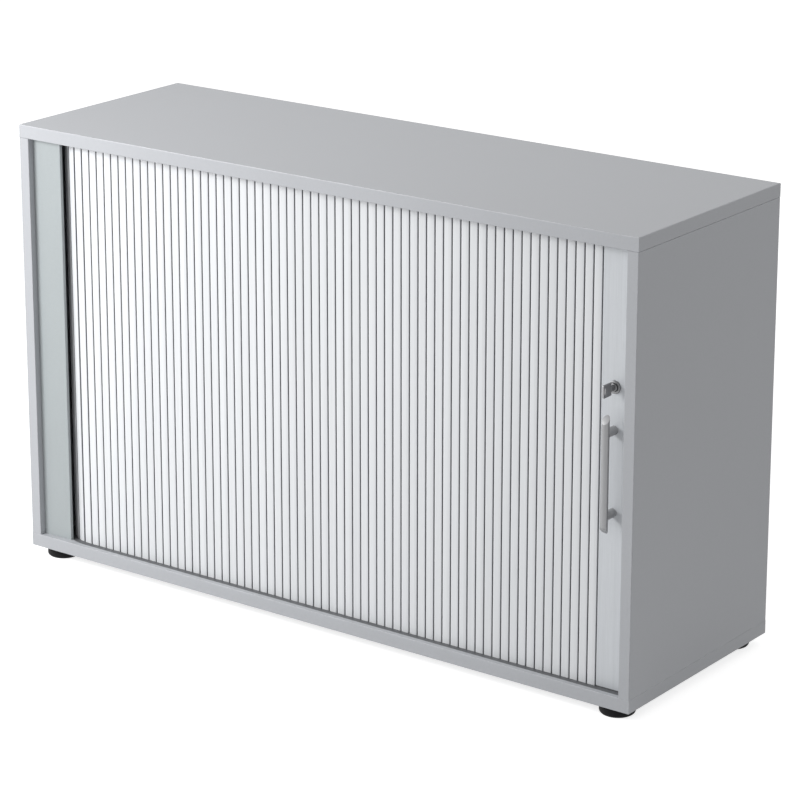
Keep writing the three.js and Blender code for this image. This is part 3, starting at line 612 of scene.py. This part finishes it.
def placed(point, outward):
    """Turns local +Z to an outward direction and moves it to a point."""
    turn = Vector(UP).rotation_difference(Vector(outward))
    return Matrix.Translation(point) @ turn.to_matrix().to_4x4()


def end_of(node, outward):
    """Turns local +Z outward and moves it to the side of a node's box that looks that way."""
    low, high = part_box(node)
    half = (high - low) / 2
    reach = Vector([part * way for part, way in zip(half, outward)])
    return placed((low + high) / 2 + reach, outward)


def reach_of(node, outward):
    """A node's length along a direction, and its radius across it."""
    low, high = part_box(node)
    across = [part for part, way in zip(high - low, outward) if not way]
    return abs((high - low).dot(Vector(outward))), max(across) / 2


# A head's outline, as shares of its radius and of its height
HEADS = {
    "pan": ((1.0, 0.0), (1.0, 0.4), (0.93, 0.8), (0.78, 1.0)),
    "countersunk": ((0.55, 0.0), (1.0, 0.85), (1.0, 0.95), (0.95, 1.0)),
}
UNTHREADED_NECK = 0.0002
SCREW_PITCH_SHARE = 0.8
SCREW_POINT = {"length": 0.4, "radius": 0.22}
RECESS = {"margin": 0.12, "arm": 0.13, "depth": 0.6, "taper": 0.6}


def screw(node, outward, head, head_height, shank, body):
    """A screw with thread rings and a cross recess. Its head looks outward."""
    length, radius = reach_of(node, outward)
    thread = threaded(
        shank / 2, -length + shank * SCREW_POINT["length"], -head_height - UNTHREADED_NECK,
        sizes().thread_pitch * SCREW_PITCH_SHARE,
    )
    point = [(0.0, -length), (shank * SCREW_POINT["radius"], -length)]
    rim = [(radius * out, head_height * (up - 1.0)) for out, up in HEADS[head]]
    bm = turned([*point, *thread, *rim], 32)
    lid = lid_of(bm)
    bmesh.ops.inset_region(bm, faces=[lid], thickness=radius * RECESS["margin"])
    arm = radius * RECESS["arm"]
    sink(bm, lid, arm, arm, True, head_height * RECESS["depth"], RECESS["taper"])
    name = node.replace("screw", "fastener")
    settle(bm, name, steel(), body, (node,), 30.0, end_of(node, outward))


class CABINET_OT_boards(bpy.types.Operator):
    """Coats the boards of the case and the shelf"""

    bl_idname = "cabinet.boards"
    bl_label = "Coat the boards"

    def execute(self, context):
        for node in ("top_panel", "bottom_panel"):
            self.coat(node, EDGED_ALL_ROUND)
        for node in ("left_side_panel", "right_side_panel", "inner_side_panel", "shelf"):
            self.coat(node, EDGED_FRONT_AND_REAR)
        strip = coated_board("cover strip coating", "cover_strip", colours().strip, NOT_EDGED)
        dress("cover_strip", strip)
        return {"FINISHED"}

    def coat(self, node, not_edged):
        dress(node, coated_board(node + " coating", node, colours().board, not_edged))


class CABINET_OT_backs(bpy.types.Operator):
    """Coats the outer back and the one inside it"""

    bl_idname = "cabinet.backs"
    bl_label = "Coat the backs"

    def execute(self, context):
        for node in ("outer_back_panel", "inner_back_panel"):
            dress(node, coated_board(node + " coating", node, colours().back_board, NOT_EDGED))
        return {"FINISHED"}


# Material slots: the slat plastic, and the darker plastic that paints shade into the grooves.
SLAT_PLASTIC, JOINT_AND_GROOVE_SHADE = 0, 1
WEB_OVERLAP = 0.0005


def slat_measures():
    """Half a slat's width, and the heights of its two ends."""
    low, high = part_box("curtain_tail")
    return (sizes().slat_pitch - sizes().slat_groove) / 2, low.z, high.z


def slat(bm):
    """One slat with rounded front edges, its front at y = 0. Its gap walls take the darker plastic
    as painted shade in the grooves.
    """
    half, bottom, top = slat_measures()
    verts = block(bm, (-half, 0.0, bottom), (half, sizes().slat_depth, top))
    front = [e for e in edges_along(verts, 2) if e.verts[0].co.y < sizes().slat_rounding]
    soften(bm, front, sizes().slat_rounding, 4)
    # The slat's gap walls get the darker plastic, as painted shade in the groove.
    for face in bm.faces:
        beside_gap = abs(face.normal.x) > 0.97
        face.material_index = JOINT_AND_GROOVE_SHADE if beside_gap else SLAT_PLASTIC


def web(bm):
    """The web from a slat to its neighbour on the right, in the darker plastic: partly the soft web
    plastic, partly painted shade in the groove.
    """
    half, bottom, top = slat_measures()
    middle = sizes().web_depth
    thick = sizes().web_thickness / 2
    low = (half - WEB_OVERLAP, middle - thick, bottom)
    high = (half + sizes().slat_groove + WEB_OVERLAP, middle + thick, top)
    for vert in block(bm, low, high):
        for face in vert.link_faces:
            face.material_index = JOINT_AND_GROOVE_SHADE


def slat_places():
    """Where each slat sits, from the leading rail round the corner: a matrix per slat."""
    pitch, radius = sizes().slat_pitch, sizes().bend_radius
    front_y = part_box("curtain_section_1")[0].y
    end_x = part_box("leading_rail")[0].x - sizes().slat_groove / 2
    side_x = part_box("curtain_tail")[0].x
    straight = end_x - side_x - radius
    pivot = radius - sizes().web_depth
    arc = pivot * math.pi / 2
    count = math.ceil(straight / pitch) + sizes().tail_slats
    for number in range(count):
        run = (number + 0.5) * pitch
        turn = min(max(run - straight, 0.0), arc) / pivot
        beyond = max(run - straight - arc, 0.0)
        if turn == 0.0:
            point = (end_x - run, front_y, 0.0)
        else:
            point = (
                side_x + radius - radius * math.sin(turn),
                front_y + radius - radius * math.cos(turn) + beyond,
                0.0,
            )
        yield Matrix.Translation(point) @ Matrix.Rotation(-turn, 4, "Z")


class CABINET_OT_curtain(bpy.types.Operator):
    """Makes the slatted curtain: the front run that draws away, and the slats round the corner"""

    bl_idname = "cabinet.curtain"
    bl_label = "Make the curtain"

    def execute(self, context):
        places = list(slat_places())
        tail = sizes().tail_slats
        plastic = (
            slat_plastic("slat plastic", colours().slat),
            # Darker plastic of the web and the slats' gap walls: partly the web's own plastic,
            # partly painted shade in the grooves.
            moulded_plastic("joint plastic", colours().joint_and_groove_shade, 0.6, 0.1, 0.25),
        )
        self.make("slats_front", places[:-tail], plastic, FRONT_SECTIONS)
        self.make("slats_corner", places[-tail:], plastic, ("curtain_tail",))
        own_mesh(bpy.data.objects["slats_front"])
        return {"FINISHED"}

    def make(self, name, places, plastic, replaced):
        bm = bmesh.new()
        slat(bm)
        web(bm)
        pattern = everything(bm)
        spare = bm.verts[:]
        for place in places:
            copy = bmesh.ops.duplicate(bm, geom=pattern)
            verts = parts_of(copy, bmesh.types.BMVert)
            bmesh.ops.transform(bm, matrix=place, verts=verts)
        bmesh.ops.delete(bm, geom=spare, context="VERTS")
        settle(bm, name, plastic, "case", replaced, 50.0)


class CABINET_OT_tracks(bpy.types.Operator):
    """Finishes the tracks that the curtain runs in"""

    bl_idname = "cabinet.tracks"
    bl_label = "Finish the tracks"

    def execute(self, context):
        plastic = moulded_plastic("track plastic", colours().track, 0.5)
        for node in ("top_track", "bottom_track", "rail_glide_top", "rail_glide_bottom"):
            dress(node, plastic)
        return {"FINISHED"}


class CABINET_OT_leading_rail(bpy.types.Operator):
    """Finishes the leading rail"""

    bl_idname = "cabinet.leading_rail"
    bl_label = "Finish the leading rail"

    def execute(self, context):
        dress("leading_rail", satin_metal("anodised rail", colours().rail, 0.5, 1200.0, 0.15))
        return {"FINISHED"}


class CABINET_OT_handle(bpy.types.Operator):
    """Makes the bar handle with its slanted ends, and its two posts"""

    bl_idname = "cabinet.handle"
    bl_label = "Make the handle"

    SCREW_HEAD = 0.0025

    def execute(self, context):
        satin = satin_metal("satin handle metal", colours().handle, 0.34, 2000.0, 0.5)
        # Lighter metal for the cut ends: partly bare metal, partly a painted highlight.
        bare_and_highlight = satin_metal("cut handle metal and painted highlight", colours().handle_end_and_highlight, 0.4, 2600.0)
        self.bar((satin, bare_and_highlight))
        cast = satin_metal("cast post metal", colours().post, 0.45, 2600.0, 0.3)
        for end in ("upper", "lower"):
            self.post(end, cast)
            screw(
                "handle_screw_" + end, (0, 1, 0), "pan", self.SCREW_HEAD, sizes().screw_shank,
                "door",
            )
        return {"FINISHED"}

    def rod(self, radius, length, place):
        bm = bmesh.new()
        bmesh.ops.create_cone(
            bm, cap_ends=True, segments=48, radius1=radius, radius2=radius, depth=length,
            matrix=place,
        )
        return bm

    def bar(self, metals):
        low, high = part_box("handle_bar")
        centre = (low + high) / 2
        radius = (high.x - low.x) / 2
        bm = self.rod(radius, high.z - low.z, Matrix.Translation(centre))
        for way in (1, -1):
            tip = Vector((centre.x, high.y, high.z if way > 0 else low.z))
            cut = bmesh.ops.bisect_plane(
                bm, geom=everything(bm), plane_co=tip, plane_no=(0.0, -1.0, way),
                clear_outer=True,
            )
            rim = parts_of(cut, bmesh.types.BMEdge, "geom_cut")
            # The cut ends take the second, lighter metal: bare metal and a painted highlight.
            for face in bmesh.ops.holes_fill(bm, edges=rim, sides=0)["faces"]:
                face.material_index = 1
        rims = [e for e in bm.edges if len(e.link_faces) == 2 and e.calc_face_angle() > 0.5]
        soften(bm, rims, sizes().handle_rounding)
        settle(bm, "handle_grip", metals, "door", ("handle_bar",))

    def post(self, end, metal):
        low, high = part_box("handle_post_" + end)
        grip_low, grip_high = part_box("handle_bar")
        grip = (grip_low + grip_high) / 2
        grip_radius = (grip_high.x - grip_low.x) / 2
        centre = (low + high) / 2
        radius = sizes().post_diameter / 2
        bm = self.rod(radius, high.y - low.y, placed(centre, (0, -1, 0)))
        front = [vert for vert in bm.verts if vert.co.y < centre.y]
        for vert in front:
            across = min(abs(vert.co.x - grip.x), grip_radius)
            vert.co.y = grip.y + math.sqrt(grip_radius ** 2 - across ** 2)
        settle(bm, "handle_leg_" + end, metal, "door", ("handle_post_" + end,))


class CABINET_OT_lock(bpy.types.Operator):
    """Makes the lock's flange, barrel and plug, and the screw that holds its hook bolt"""

    bl_idname = "cabinet.lock"
    bl_label = "Make the lock"

    SCREW_HEAD = 0.0018
    FRONT = (0, -1, 0)
    FLANGE_EASE = 0.001
    BORE_EASE = 0.0005
    THREAD_END = 0.0006
    THREAD_NECK = 0.0008

    def execute(self, context):
        plating = satin_metal("lock plating", colours().lock, 0.3, 3000.0)
        self.barrel(plating)
        self.plug(plating)
        for node in ("lock_nut", "hook_bolt"):
            dress(node, steel())
        screw(
            "hook_screw", (0, 1, 0), "pan", self.SCREW_HEAD, sizes().small_shank, "lock_cylinder",
        )
        return {"FINISHED"}

    def barrel(self, plating):
        length, flange = reach_of("lock_barrel", self.FRONT)
        shell, bore = sizes().barrel_diameter / 2, sizes().lock_bore / 2
        seat = -sizes().flange_thickness
        ease = self.FLANGE_EASE
        thread = threaded(
            shell, -length + self.THREAD_END, seat - self.THREAD_NECK, sizes().thread_pitch,
        )
        profile = [
            (bore, -length), *thread, (shell - self.THREAD_END, seat), (flange, seat),
            (flange, -ease), (flange - ease * 0.15, -ease * 0.5),
            (flange - ease * 0.5, -ease * 0.15), (flange - ease, 0.0),
            (bore + self.BORE_EASE, 0.0), (bore, -self.BORE_EASE), (bore, -length),
        ]
        bm = turned(profile, 64)
        place = end_of("lock_barrel", self.FRONT)
        settle(bm, "lock_flange", plating, "door", ("lock_barrel",), 40.0, place)

    def plug(self, plating):
        length, radius = reach_of("lock_plug", self.FRONT)
        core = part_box("lock_barrel")[1].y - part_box("lock_plug")[0].y
        bm = turned([(0.0, -core), (radius, -core), *worn_rim(radius)], 64)
        slot = (sizes().keyway_width / 2, sizes().keyway_height / 2)
        sink(bm, lid_of(bm), *slot, False, sizes().keyway_depth)
        half = sizes().plug_tail / 2
        block(bm, (-half, -half, -length), (half, half, self.BORE_EASE - core))
        place = end_of("lock_plug", self.FRONT)
        settle(bm, "lock_core", plating, "lock_cylinder", ("lock_plug",), 35.0, place)


def looks_sideways(face):
    return abs(face.normal.x) > 0.9


class CABINET_OT_key(bpy.types.Operator):
    """Makes the key: its bow with a hole, its neck, and its blade with the cuts"""

    bl_idname = "cabinet.key"
    bl_label = "Make the key"

    CUT_DEPTHS = (0.0016, 0.0026, 0.001, 0.0021)
    NECK_MARGIN = 0.0001
    PLUG_GAP = 0.0002
    GROOVE_BOTTOM, GROOVE_TOP = 0.0004, 0.0018
    GROOVE_DEPTH, GROOVE_WALL = 0.0004, 0.0001
    HOLE_INSET, HOLE_LENGTH_SHARE, HOLE_HEIGHT_SHARE = 0.0015, 0.18, 0.53
    HOLE_FROM_END = 0.0046
    PANEL_MARGIN, PANEL_WALL, PANEL_DEPTH = 0.0008, 0.0002, 0.0003
    SAME_PLACE = 1e-6

    def execute(self, context):
        metal = satin_metal("key metal", colours().key, 0.4, 1500.0, 0.8)
        low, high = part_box("key")
        middle = (low + high) / 2
        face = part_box("lock_plug")[0].y
        rear = low.y + sizes().bow_length
        half = Vector((sizes().key_thickness, 0.0, sizes().key_height)) / 2
        bm = bmesh.new()
        self.blade(bm, middle, half, face, high.y)
        neck = Vector((high.x - middle.x - self.NECK_MARGIN, 0.0, half.z))
        verts = block(
            bm, Vector((middle.x, rear - sizes().bow_corner / 2, middle.z)) - neck,
            Vector((middle.x, face - self.PLUG_GAP, middle.z)) + neck,
        )
        soften(bm, edges_along(verts, 1), sizes().key_rounding)
        self.bow(bm, low, Vector((high.x, rear, high.z)))
        settle(bm, "lock_key", metal, "key", ("key",), 30.0)
        return {"FINISHED"}

    def blade(self, bm, middle, half, face, tip):
        start = Vector((middle.x, (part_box("key")[0].y + sizes().bow_length + face) / 2, middle.z))
        block(bm, start - half, Vector((middle.x, tip, middle.z)) + half)
        slope = tip - half.z
        lows = {}
        for number, depth in enumerate(self.CUT_DEPTHS):
            first = face + sizes().key_cut_start + number * sizes().key_cut_pitch
            lows[first + sizes().key_cut_pitch / 2] = depth
            lows[first] = 0.0
        for y in sorted({*lows, slope}):
            self.slice(bm, (0.0, y, 0.0), (0, 1, 0))
        for vert in bm.verts:
            if vert.co.z < middle.z:
                nearest = min(lows, key=lambda y: abs(y - vert.co.y))
                if abs(nearest - vert.co.y) < self.SAME_PLACE:
                    vert.co.z += lows[nearest]
            vert.co.z = min(vert.co.z, middle.z + tip - vert.co.y)
            if vert.co.y > tip - self.SAME_PLACE:
                vert.co.z = middle.z
        bmesh.ops.remove_doubles(bm, verts=bm.verts, dist=self.SAME_PLACE)
        low, high = middle.z + self.GROOVE_BOTTOM, middle.z + self.GROOVE_TOP
        for z in (low, high):
            self.slice(bm, (0.0, 0.0, z), (0, 0, 1))
        bm.normal_update()
        groove = []
        for side in filter(looks_sideways, bm.faces):
            centre = side.calc_center_median()
            if low < centre.z < high and centre.y < slope:
                groove.append(side)
        bmesh.ops.inset_region(
            bm, faces=groove, thickness=self.GROOVE_WALL, depth=-self.GROOVE_DEPTH,
        )

    def slice(self, bm, point, normal):
        bmesh.ops.bisect_plane(bm, geom=everything(bm), plane_co=point, plane_no=normal)

    def bow(self, bm, low, high):
        others = set(bm.faces)
        verts = block(bm, low, high)
        soften(bm, edges_along(verts, 0), sizes().bow_corner, 4)
        sides = [f for f in bm.faces if f not in others and looks_sideways(f)]
        bmesh.ops.inset_individual(bm, faces=sides, thickness=self.HOLE_INSET)
        shares = (1.0, self.HOLE_LENGTH_SHARE, self.HOLE_HEIGHT_SHARE)
        rims = []
        for side in sides:
            centre = side.calc_center_median()
            corners = list(side.verts)
            about = Matrix.Translation(-centre)
            bmesh.ops.scale(bm, vec=shares, space=about, verts=corners)
            shift = low.y + self.HOLE_FROM_END - centre.y
            bmesh.ops.translate(bm, vec=(0.0, shift, 0.0), verts=corners)
            rims.extend(side.edges)
        bmesh.ops.delete(bm, geom=sides, context="FACES_ONLY")
        bmesh.ops.bridge_loops(bm, edges=rims)
        bm.normal_update()
        panels = [f for f in bm.faces if f not in others and looks_sideways(f)]
        bmesh.ops.inset_region(bm, faces=panels, thickness=self.PANEL_MARGIN)
        bmesh.ops.inset_region(
            bm, faces=panels, thickness=self.PANEL_WALL, depth=-self.PANEL_DEPTH,
        )
        corners = []
        for edge in bm.edges:
            if len(edge.link_faces) == 2 and not others.intersection(edge.link_faces):
                flat = sorted(abs(face.normal.x) for face in edge.link_faces)
                if flat[0] < 0.1 and flat[1] > 0.9:
                    corners.append(edge)
        soften(bm, corners, sizes().key_rounding)


class CABINET_OT_strike(bpy.types.Operator):
    """Finishes the strike plate and makes its two countersunk screws"""

    bl_idname = "cabinet.strike"
    bl_label = "Make the strike's screws"

    SCREW_HEAD = 0.0015

    def execute(self, context):
        dress("strike_plate", steel())
        for end in ("upper", "lower"):
            screw(
                "strike_screw_" + end, (-1, 0, 0), "countersunk", self.SCREW_HEAD,
                sizes().small_shank, "case",
            )
        return {"FINISHED"}


class CABINET_OT_shelf_pins(bpy.types.Operator):
    """Turns the pins that carry the shelf"""

    bl_idname = "cabinet.shelf_pins"
    bl_label = "Make the shelf pins"

    EASE = 0.0004
    COLLAR = 0.007
    COLLAR_EASE = 0.0001
    GROOVE_OUTER, GROOVE_INNER = 0.005, 0.0057
    GROOVE_SLOPE = 0.0002

    def execute(self, context):
        for end in ("front", "rear"):
            self.pin(end + "_left", (1, 0, 0))
            self.pin(end + "_right", (-1, 0, 0))
        return {"FINISHED"}

    def pin(self, corner, outward):
        node = "shelf_pin_" + corner
        length, collar = reach_of(node, outward)
        neck = sizes().pin_diameter / 2
        groove = collar - self.EASE
        profile = (
            (0.0, -length), (neck - self.EASE, -length), (neck, -length + self.EASE),
            (neck, -self.COLLAR - self.COLLAR_EASE), (collar, -self.COLLAR + self.COLLAR_EASE),
            (collar, -self.GROOVE_INNER), (groove, -self.GROOVE_INNER + self.GROOVE_SLOPE),
            (groove, -self.GROOVE_OUTER - self.GROOVE_SLOPE), (collar, -self.GROOVE_OUTER),
            *worn_rim(collar), (0.0, 0.0),
        )
        bm = turned(profile, 32)
        name = "shelf_stud_" + corner
        settle(bm, name, steel(), "case", (node,), 35.0, end_of(node, outward))


class CABINET_OT_dowels(bpy.types.Operator):
    """Makes the fluted dowels that join the boards"""

    bl_idname = "cabinet.dowels"
    bl_label = "Make the dowels"

    STEPS = 32
    CHAMFER = 0.001
    FLUTE_SHARE = 0.92

    def execute(self, context):
        beech = raw_beech("raw beech", colours().dowel)
        for corner in CORNERS:
            for level in ("top", "bottom"):
                self.dowel("dowel_" + level + "_" + corner, beech)
        return {"FINISHED"}

    def dowel(self, node, beech):
        length, radius = reach_of(node, UP)
        inner = radius - self.CHAMFER
        profile = (
            (0.0, -length), (inner, -length), (radius, -length + self.CHAMFER),
            (radius, -self.CHAMFER), (inner, 0.0), (0.0, 0.0),
        )
        bm = turned(profile, self.STEPS)
        flutes = []
        for vert in bm.verts:
            step = round(math.atan2(vert.co.y, vert.co.x) / math.tau * self.STEPS)
            if vert.co.xy.length > (radius + inner) / 2 and step % 2:
                flutes.append(vert)
        bmesh.ops.scale(bm, vec=(self.FLUTE_SHARE, self.FLUTE_SHARE, 1.0), verts=flutes)
        settle(bm, "fluted_" + node, beech, "case", (node,), 20.0, end_of(node, UP))


class CABINET_OT_feet(bpy.types.Operator):
    """Makes the black feet and their threaded stems, and finishes their inserts"""

    bl_idname = "cabinet.feet"
    bl_label = "Make the feet"

    NUT_BOTTOM, NUT_TOP, NUT_EASE = -0.0143, -0.0116, 0.0003
    THREAD_EASE = 0.0006
    PITCH_SHARE = 1.25
    # The base's outline, as shares of its radius and of its height
    OUTLINE = (
        (0.0, 0.0), (0.88, 0.0), (0.92, 0.04), (0.975, 0.14), (1.0, 0.28), (1.0, 0.78),
        (0.985, 0.9), (0.95, 0.97), (0.9, 1.0), (0.0, 1.0),
    )

    def execute(self, context):
        black = moulded_plastic("black foot plastic", colours().foot, 0.6, 0.01, 0.15)
        for corner in CORNERS:
            self.stem(corner)
            dress("foot_insert_" + corner, steel())
            self.base(corner, black)
        return {"FINISHED"}

    def stem(self, corner):
        node = "foot_stem_" + corner
        length, collar = reach_of(node, UP)
        radius = sizes().stem_diameter / 2
        ease = self.THREAD_EASE
        pitch = sizes().thread_pitch * self.PITCH_SHARE
        thread = threaded(radius, -length + ease, -ease, pitch)
        bm = turned([(0.0, -length), *thread, (0.0, 0.0)], 32)
        low, high, ease = self.NUT_BOTTOM, self.NUT_TOP, self.NUT_EASE
        nut = (
            (0.0, low), (collar - ease * 2, low), (collar, low + ease), (collar, high - ease),
            (collar - ease * 2, high), (0.0, high),
        )
        turned(nut, 6, bm)
        place = end_of(node, UP) @ Matrix.Rotation(math.pi / 6, 4, "Z")
        body = "foot_" + corner
        settle(bm, "threaded_stem_" + corner, steel(), body, (node,), 30.0, place)

    def base(self, corner, black):
        node = "foot_base_" + corner
        height, radius = reach_of(node, UP)
        bm = turned([(radius * out, height * (rise - 1.0)) for out, rise in self.OUTLINE], 64)
        name = "foot_" + corner
        settle(bm, name, black, name, (node,), 40.0, end_of(node, UP))


class StudioSettings(bpy.types.PropertyGroup):
    """The camera and the light of the picture."""

    camera_place: FloatVectorProperty(
        name="Camera", description="Where the camera stands", size=3, subtype="TRANSLATION",
        unit="LENGTH", default=(2.9238, -3.8974, 1.9222),
    )
    azimuth: FloatProperty(
        name="Azimuth", description="Turn of the view to the cabinet's right side",
        subtype="ANGLE", default=math.radians(36.895),
    )
    elevation: FloatProperty(
        name="Elevation", description="Downward tilt of the view",
        subtype="ANGLE", default=math.radians(16.091),
    )
    roll: FloatProperty(
        name="Roll", description="Turn of the picture", subtype="ANGLE",
        default=math.radians(-0.058),
    )
    focal_px: FloatProperty(
        name="Focal length in pixels", description="Focal length in the picture's pixels",
        default=3175.9,
    )
    centre_px: FloatVectorProperty(
        name="Axis in pixels", description="Where the camera's axis meets the picture", size=2,
        default=(382.2, 295.4),
    )
    world_level: FloatProperty(
        name="World", description="Strength of the even light", default=0.6, min=0.0,
    )
    key_power: FloatProperty(
        name="Key lamp", description="Power of the lamp at the front left", unit="POWER",
        default=34.0, min=0.0,
    )
    top_power: FloatProperty(
        name="Top lamp", description="Power of the lamp above", unit="POWER", default=2.5,
        min=0.0,
    )


def studio():
    return bpy.context.scene.cabinet_studio


def lamp(name, place, target, side, power):
    """A soft square lamp that points at a target."""
    data = bpy.data.lights.new(name, "AREA")
    data.shape = "SQUARE"
    data.size = side
    data.energy = power
    made = added(name, data)
    made.location = place
    aim = Vector(target) - Vector(place)
    made.rotation_euler = aim.to_track_quat("-Z", "Y").to_euler()


def seen_directly(sheet):
    """1 for camera, glossy and transmission rays, 0 for the rays that light the object."""
    path = sheet.new("ShaderNodeLightPath").outputs
    either = sheet.math("ADD", path["Is Camera Ray"], path["Is Glossy Ray"])
    return sheet.math("ADD", either, path["Is Transmission Ray"], clamp=True)


class CABINET_OT_studio(bpy.types.Operator):
    """Sets up the floor, the lamps, the world and the camera"""

    bl_idname = "cabinet.studio"
    bl_label = "Set up the studio"

    FLOOR_HALF_SIDE = 40.0
    FLOOR_GLOW = 0.76
    KEY_LAMP = {"place": (-1.2, -1.5, 1.3), "target": (-0.35, -0.19, 0.42), "side": 0.8}
    TOP_LAMP = {"place": (-0.8, 0.6, 2.2), "target": (-0.2, 0.0, 0.7), "side": 1.0}

    def execute(self, context):
        self.floor()
        self.world(context.scene)
        self.camera(context.scene)
        lamp("key lamp", power=studio().key_power, **self.KEY_LAMP)
        lamp("top lamp", power=studio().top_power, **self.TOP_LAMP)
        context.scene.view_settings.view_transform = "Standard"
        return {"FINISHED"}

    def floor(self):
        bm = bmesh.new()
        bmesh.ops.create_grid(bm, x_segments=1, y_segments=1, size=self.FLOOR_HALF_SIDE)
        mesh = bpy.data.meshes.new("studio_floor")
        bm.to_mesh(mesh)
        bm.free()
        made = bpy.data.materials.new("studio floor")
        made.use_nodes = True
        sheet = NodeSheet(made.node_tree)
        surface = made.node_tree.nodes["Principled BSDF"]
        surface.inputs["Base Color"].default_value = rgba(colours().floor)
        surface.inputs["Roughness"].default_value = 0.9
        surface.inputs["Specular IOR Level"].default_value = 0.0
        level = sheet.math("MULTIPLY", seen_directly(sheet), self.FLOOR_GLOW)
        glow = sheet.new("ShaderNodeEmission", {"Strength": level})
        both = sheet.new("ShaderNodeAddShader", {0: surface.outputs[0], 1: glow.outputs[0]})
        output = made.node_tree.nodes["Material Output"]
        sheet.feed(output.inputs["Surface"], both.outputs[0])
        mesh.materials.append(made)
        floor = added("studio_floor", mesh)

    def world(self, scene):
        world = bpy.data.worlds.new("studio world")
        world.use_nodes = True
        scene.world = world
        sheet = NodeSheet(world.node_tree)
        back = world.node_tree.nodes["Background"]
        back.inputs["Color"].default_value = (1.0, 1.0, 1.0, 1.0)
        level = sheet.ranged(seen_directly(sheet), 0.0, 1.0, studio().world_level)
        sheet.feed(back.inputs["Strength"], level)

    def camera(self, scene):
        settings = studio()
        data = bpy.data.cameras.new("photo camera")
        data.sensor_width = SENSOR_WIDTH_MM
        data.lens = settings.focal_px / PHOTO_SIDE_PX * SENSOR_WIDTH_MM
        data.shift_x = (PHOTO_SIDE_PX / 2 - settings.centre_px[0]) / PHOTO_SIDE_PX
        data.shift_y = (settings.centre_px[1] - PHOTO_SIDE_PX / 2) / PHOTO_SIDE_PX
        made = added("photo camera", data)
        made.location = settings.camera_place
        ahead = Vector((
            -math.sin(settings.azimuth) * math.cos(settings.elevation),
            math.cos(settings.azimuth) * math.cos(settings.elevation),
            -math.sin(settings.elevation),
        ))
        turn = ahead.to_track_quat("-Z", "Y").to_matrix() @ Matrix.Rotation(settings.roll, 3, "Z")
        made.rotation_euler = turn.to_euler()
        scene.camera = made


OPERATORS = (
    CABINET_OT_boards,
    CABINET_OT_backs,
    CABINET_OT_curtain,
    CABINET_OT_tracks,
    CABINET_OT_leading_rail,
    CABINET_OT_handle,
    CABINET_OT_lock,
    CABINET_OT_key,
    CABINET_OT_strike,
    CABINET_OT_shelf_pins,
    CABINET_OT_dowels,
    CABINET_OT_feet,
    CABINET_OT_studio,
)


class CABINET_PT_sidebar(bpy.types.Panel):
    """Lists the steps that dress the cabinet"""

    bl_idname = "CABINET_PT_sidebar"
    bl_label = "Tambour door cabinet"
    bl_space_type = "VIEW_3D"
    bl_region_type = "UI"
    bl_category = "Cabinet"

    def draw(self, context):
        for operator in OPERATORS:
            self.layout.operator(operator.bl_idname)


SETTINGS = {
    "cabinet_colours": CabinetColours,
    "cabinet_sizes": CabinetSizes,
    "cabinet_studio": StudioSettings,
}


def register():
    for cls in (*SETTINGS.values(), *OPERATORS, CABINET_PT_sidebar):
        bpy.utils.register_class(cls)
    for name, cls in SETTINGS.items():
        setattr(bpy.types.Scene, name, PointerProperty(type=cls))


def unregister():
    for name in SETTINGS:
        delattr(bpy.types.Scene, name)
    for cls in (CABINET_PT_sidebar, *reversed(OPERATORS), *SETTINGS.values()):
        bpy.utils.unregister_class(cls)


def main():
    register()
    build_groups()
    for operator in OPERATORS:
        group, step = operator.bl_idname.split(".")
        getattr(getattr(bpy.ops, group), step)()


if __name__ == "__main__":
    main()
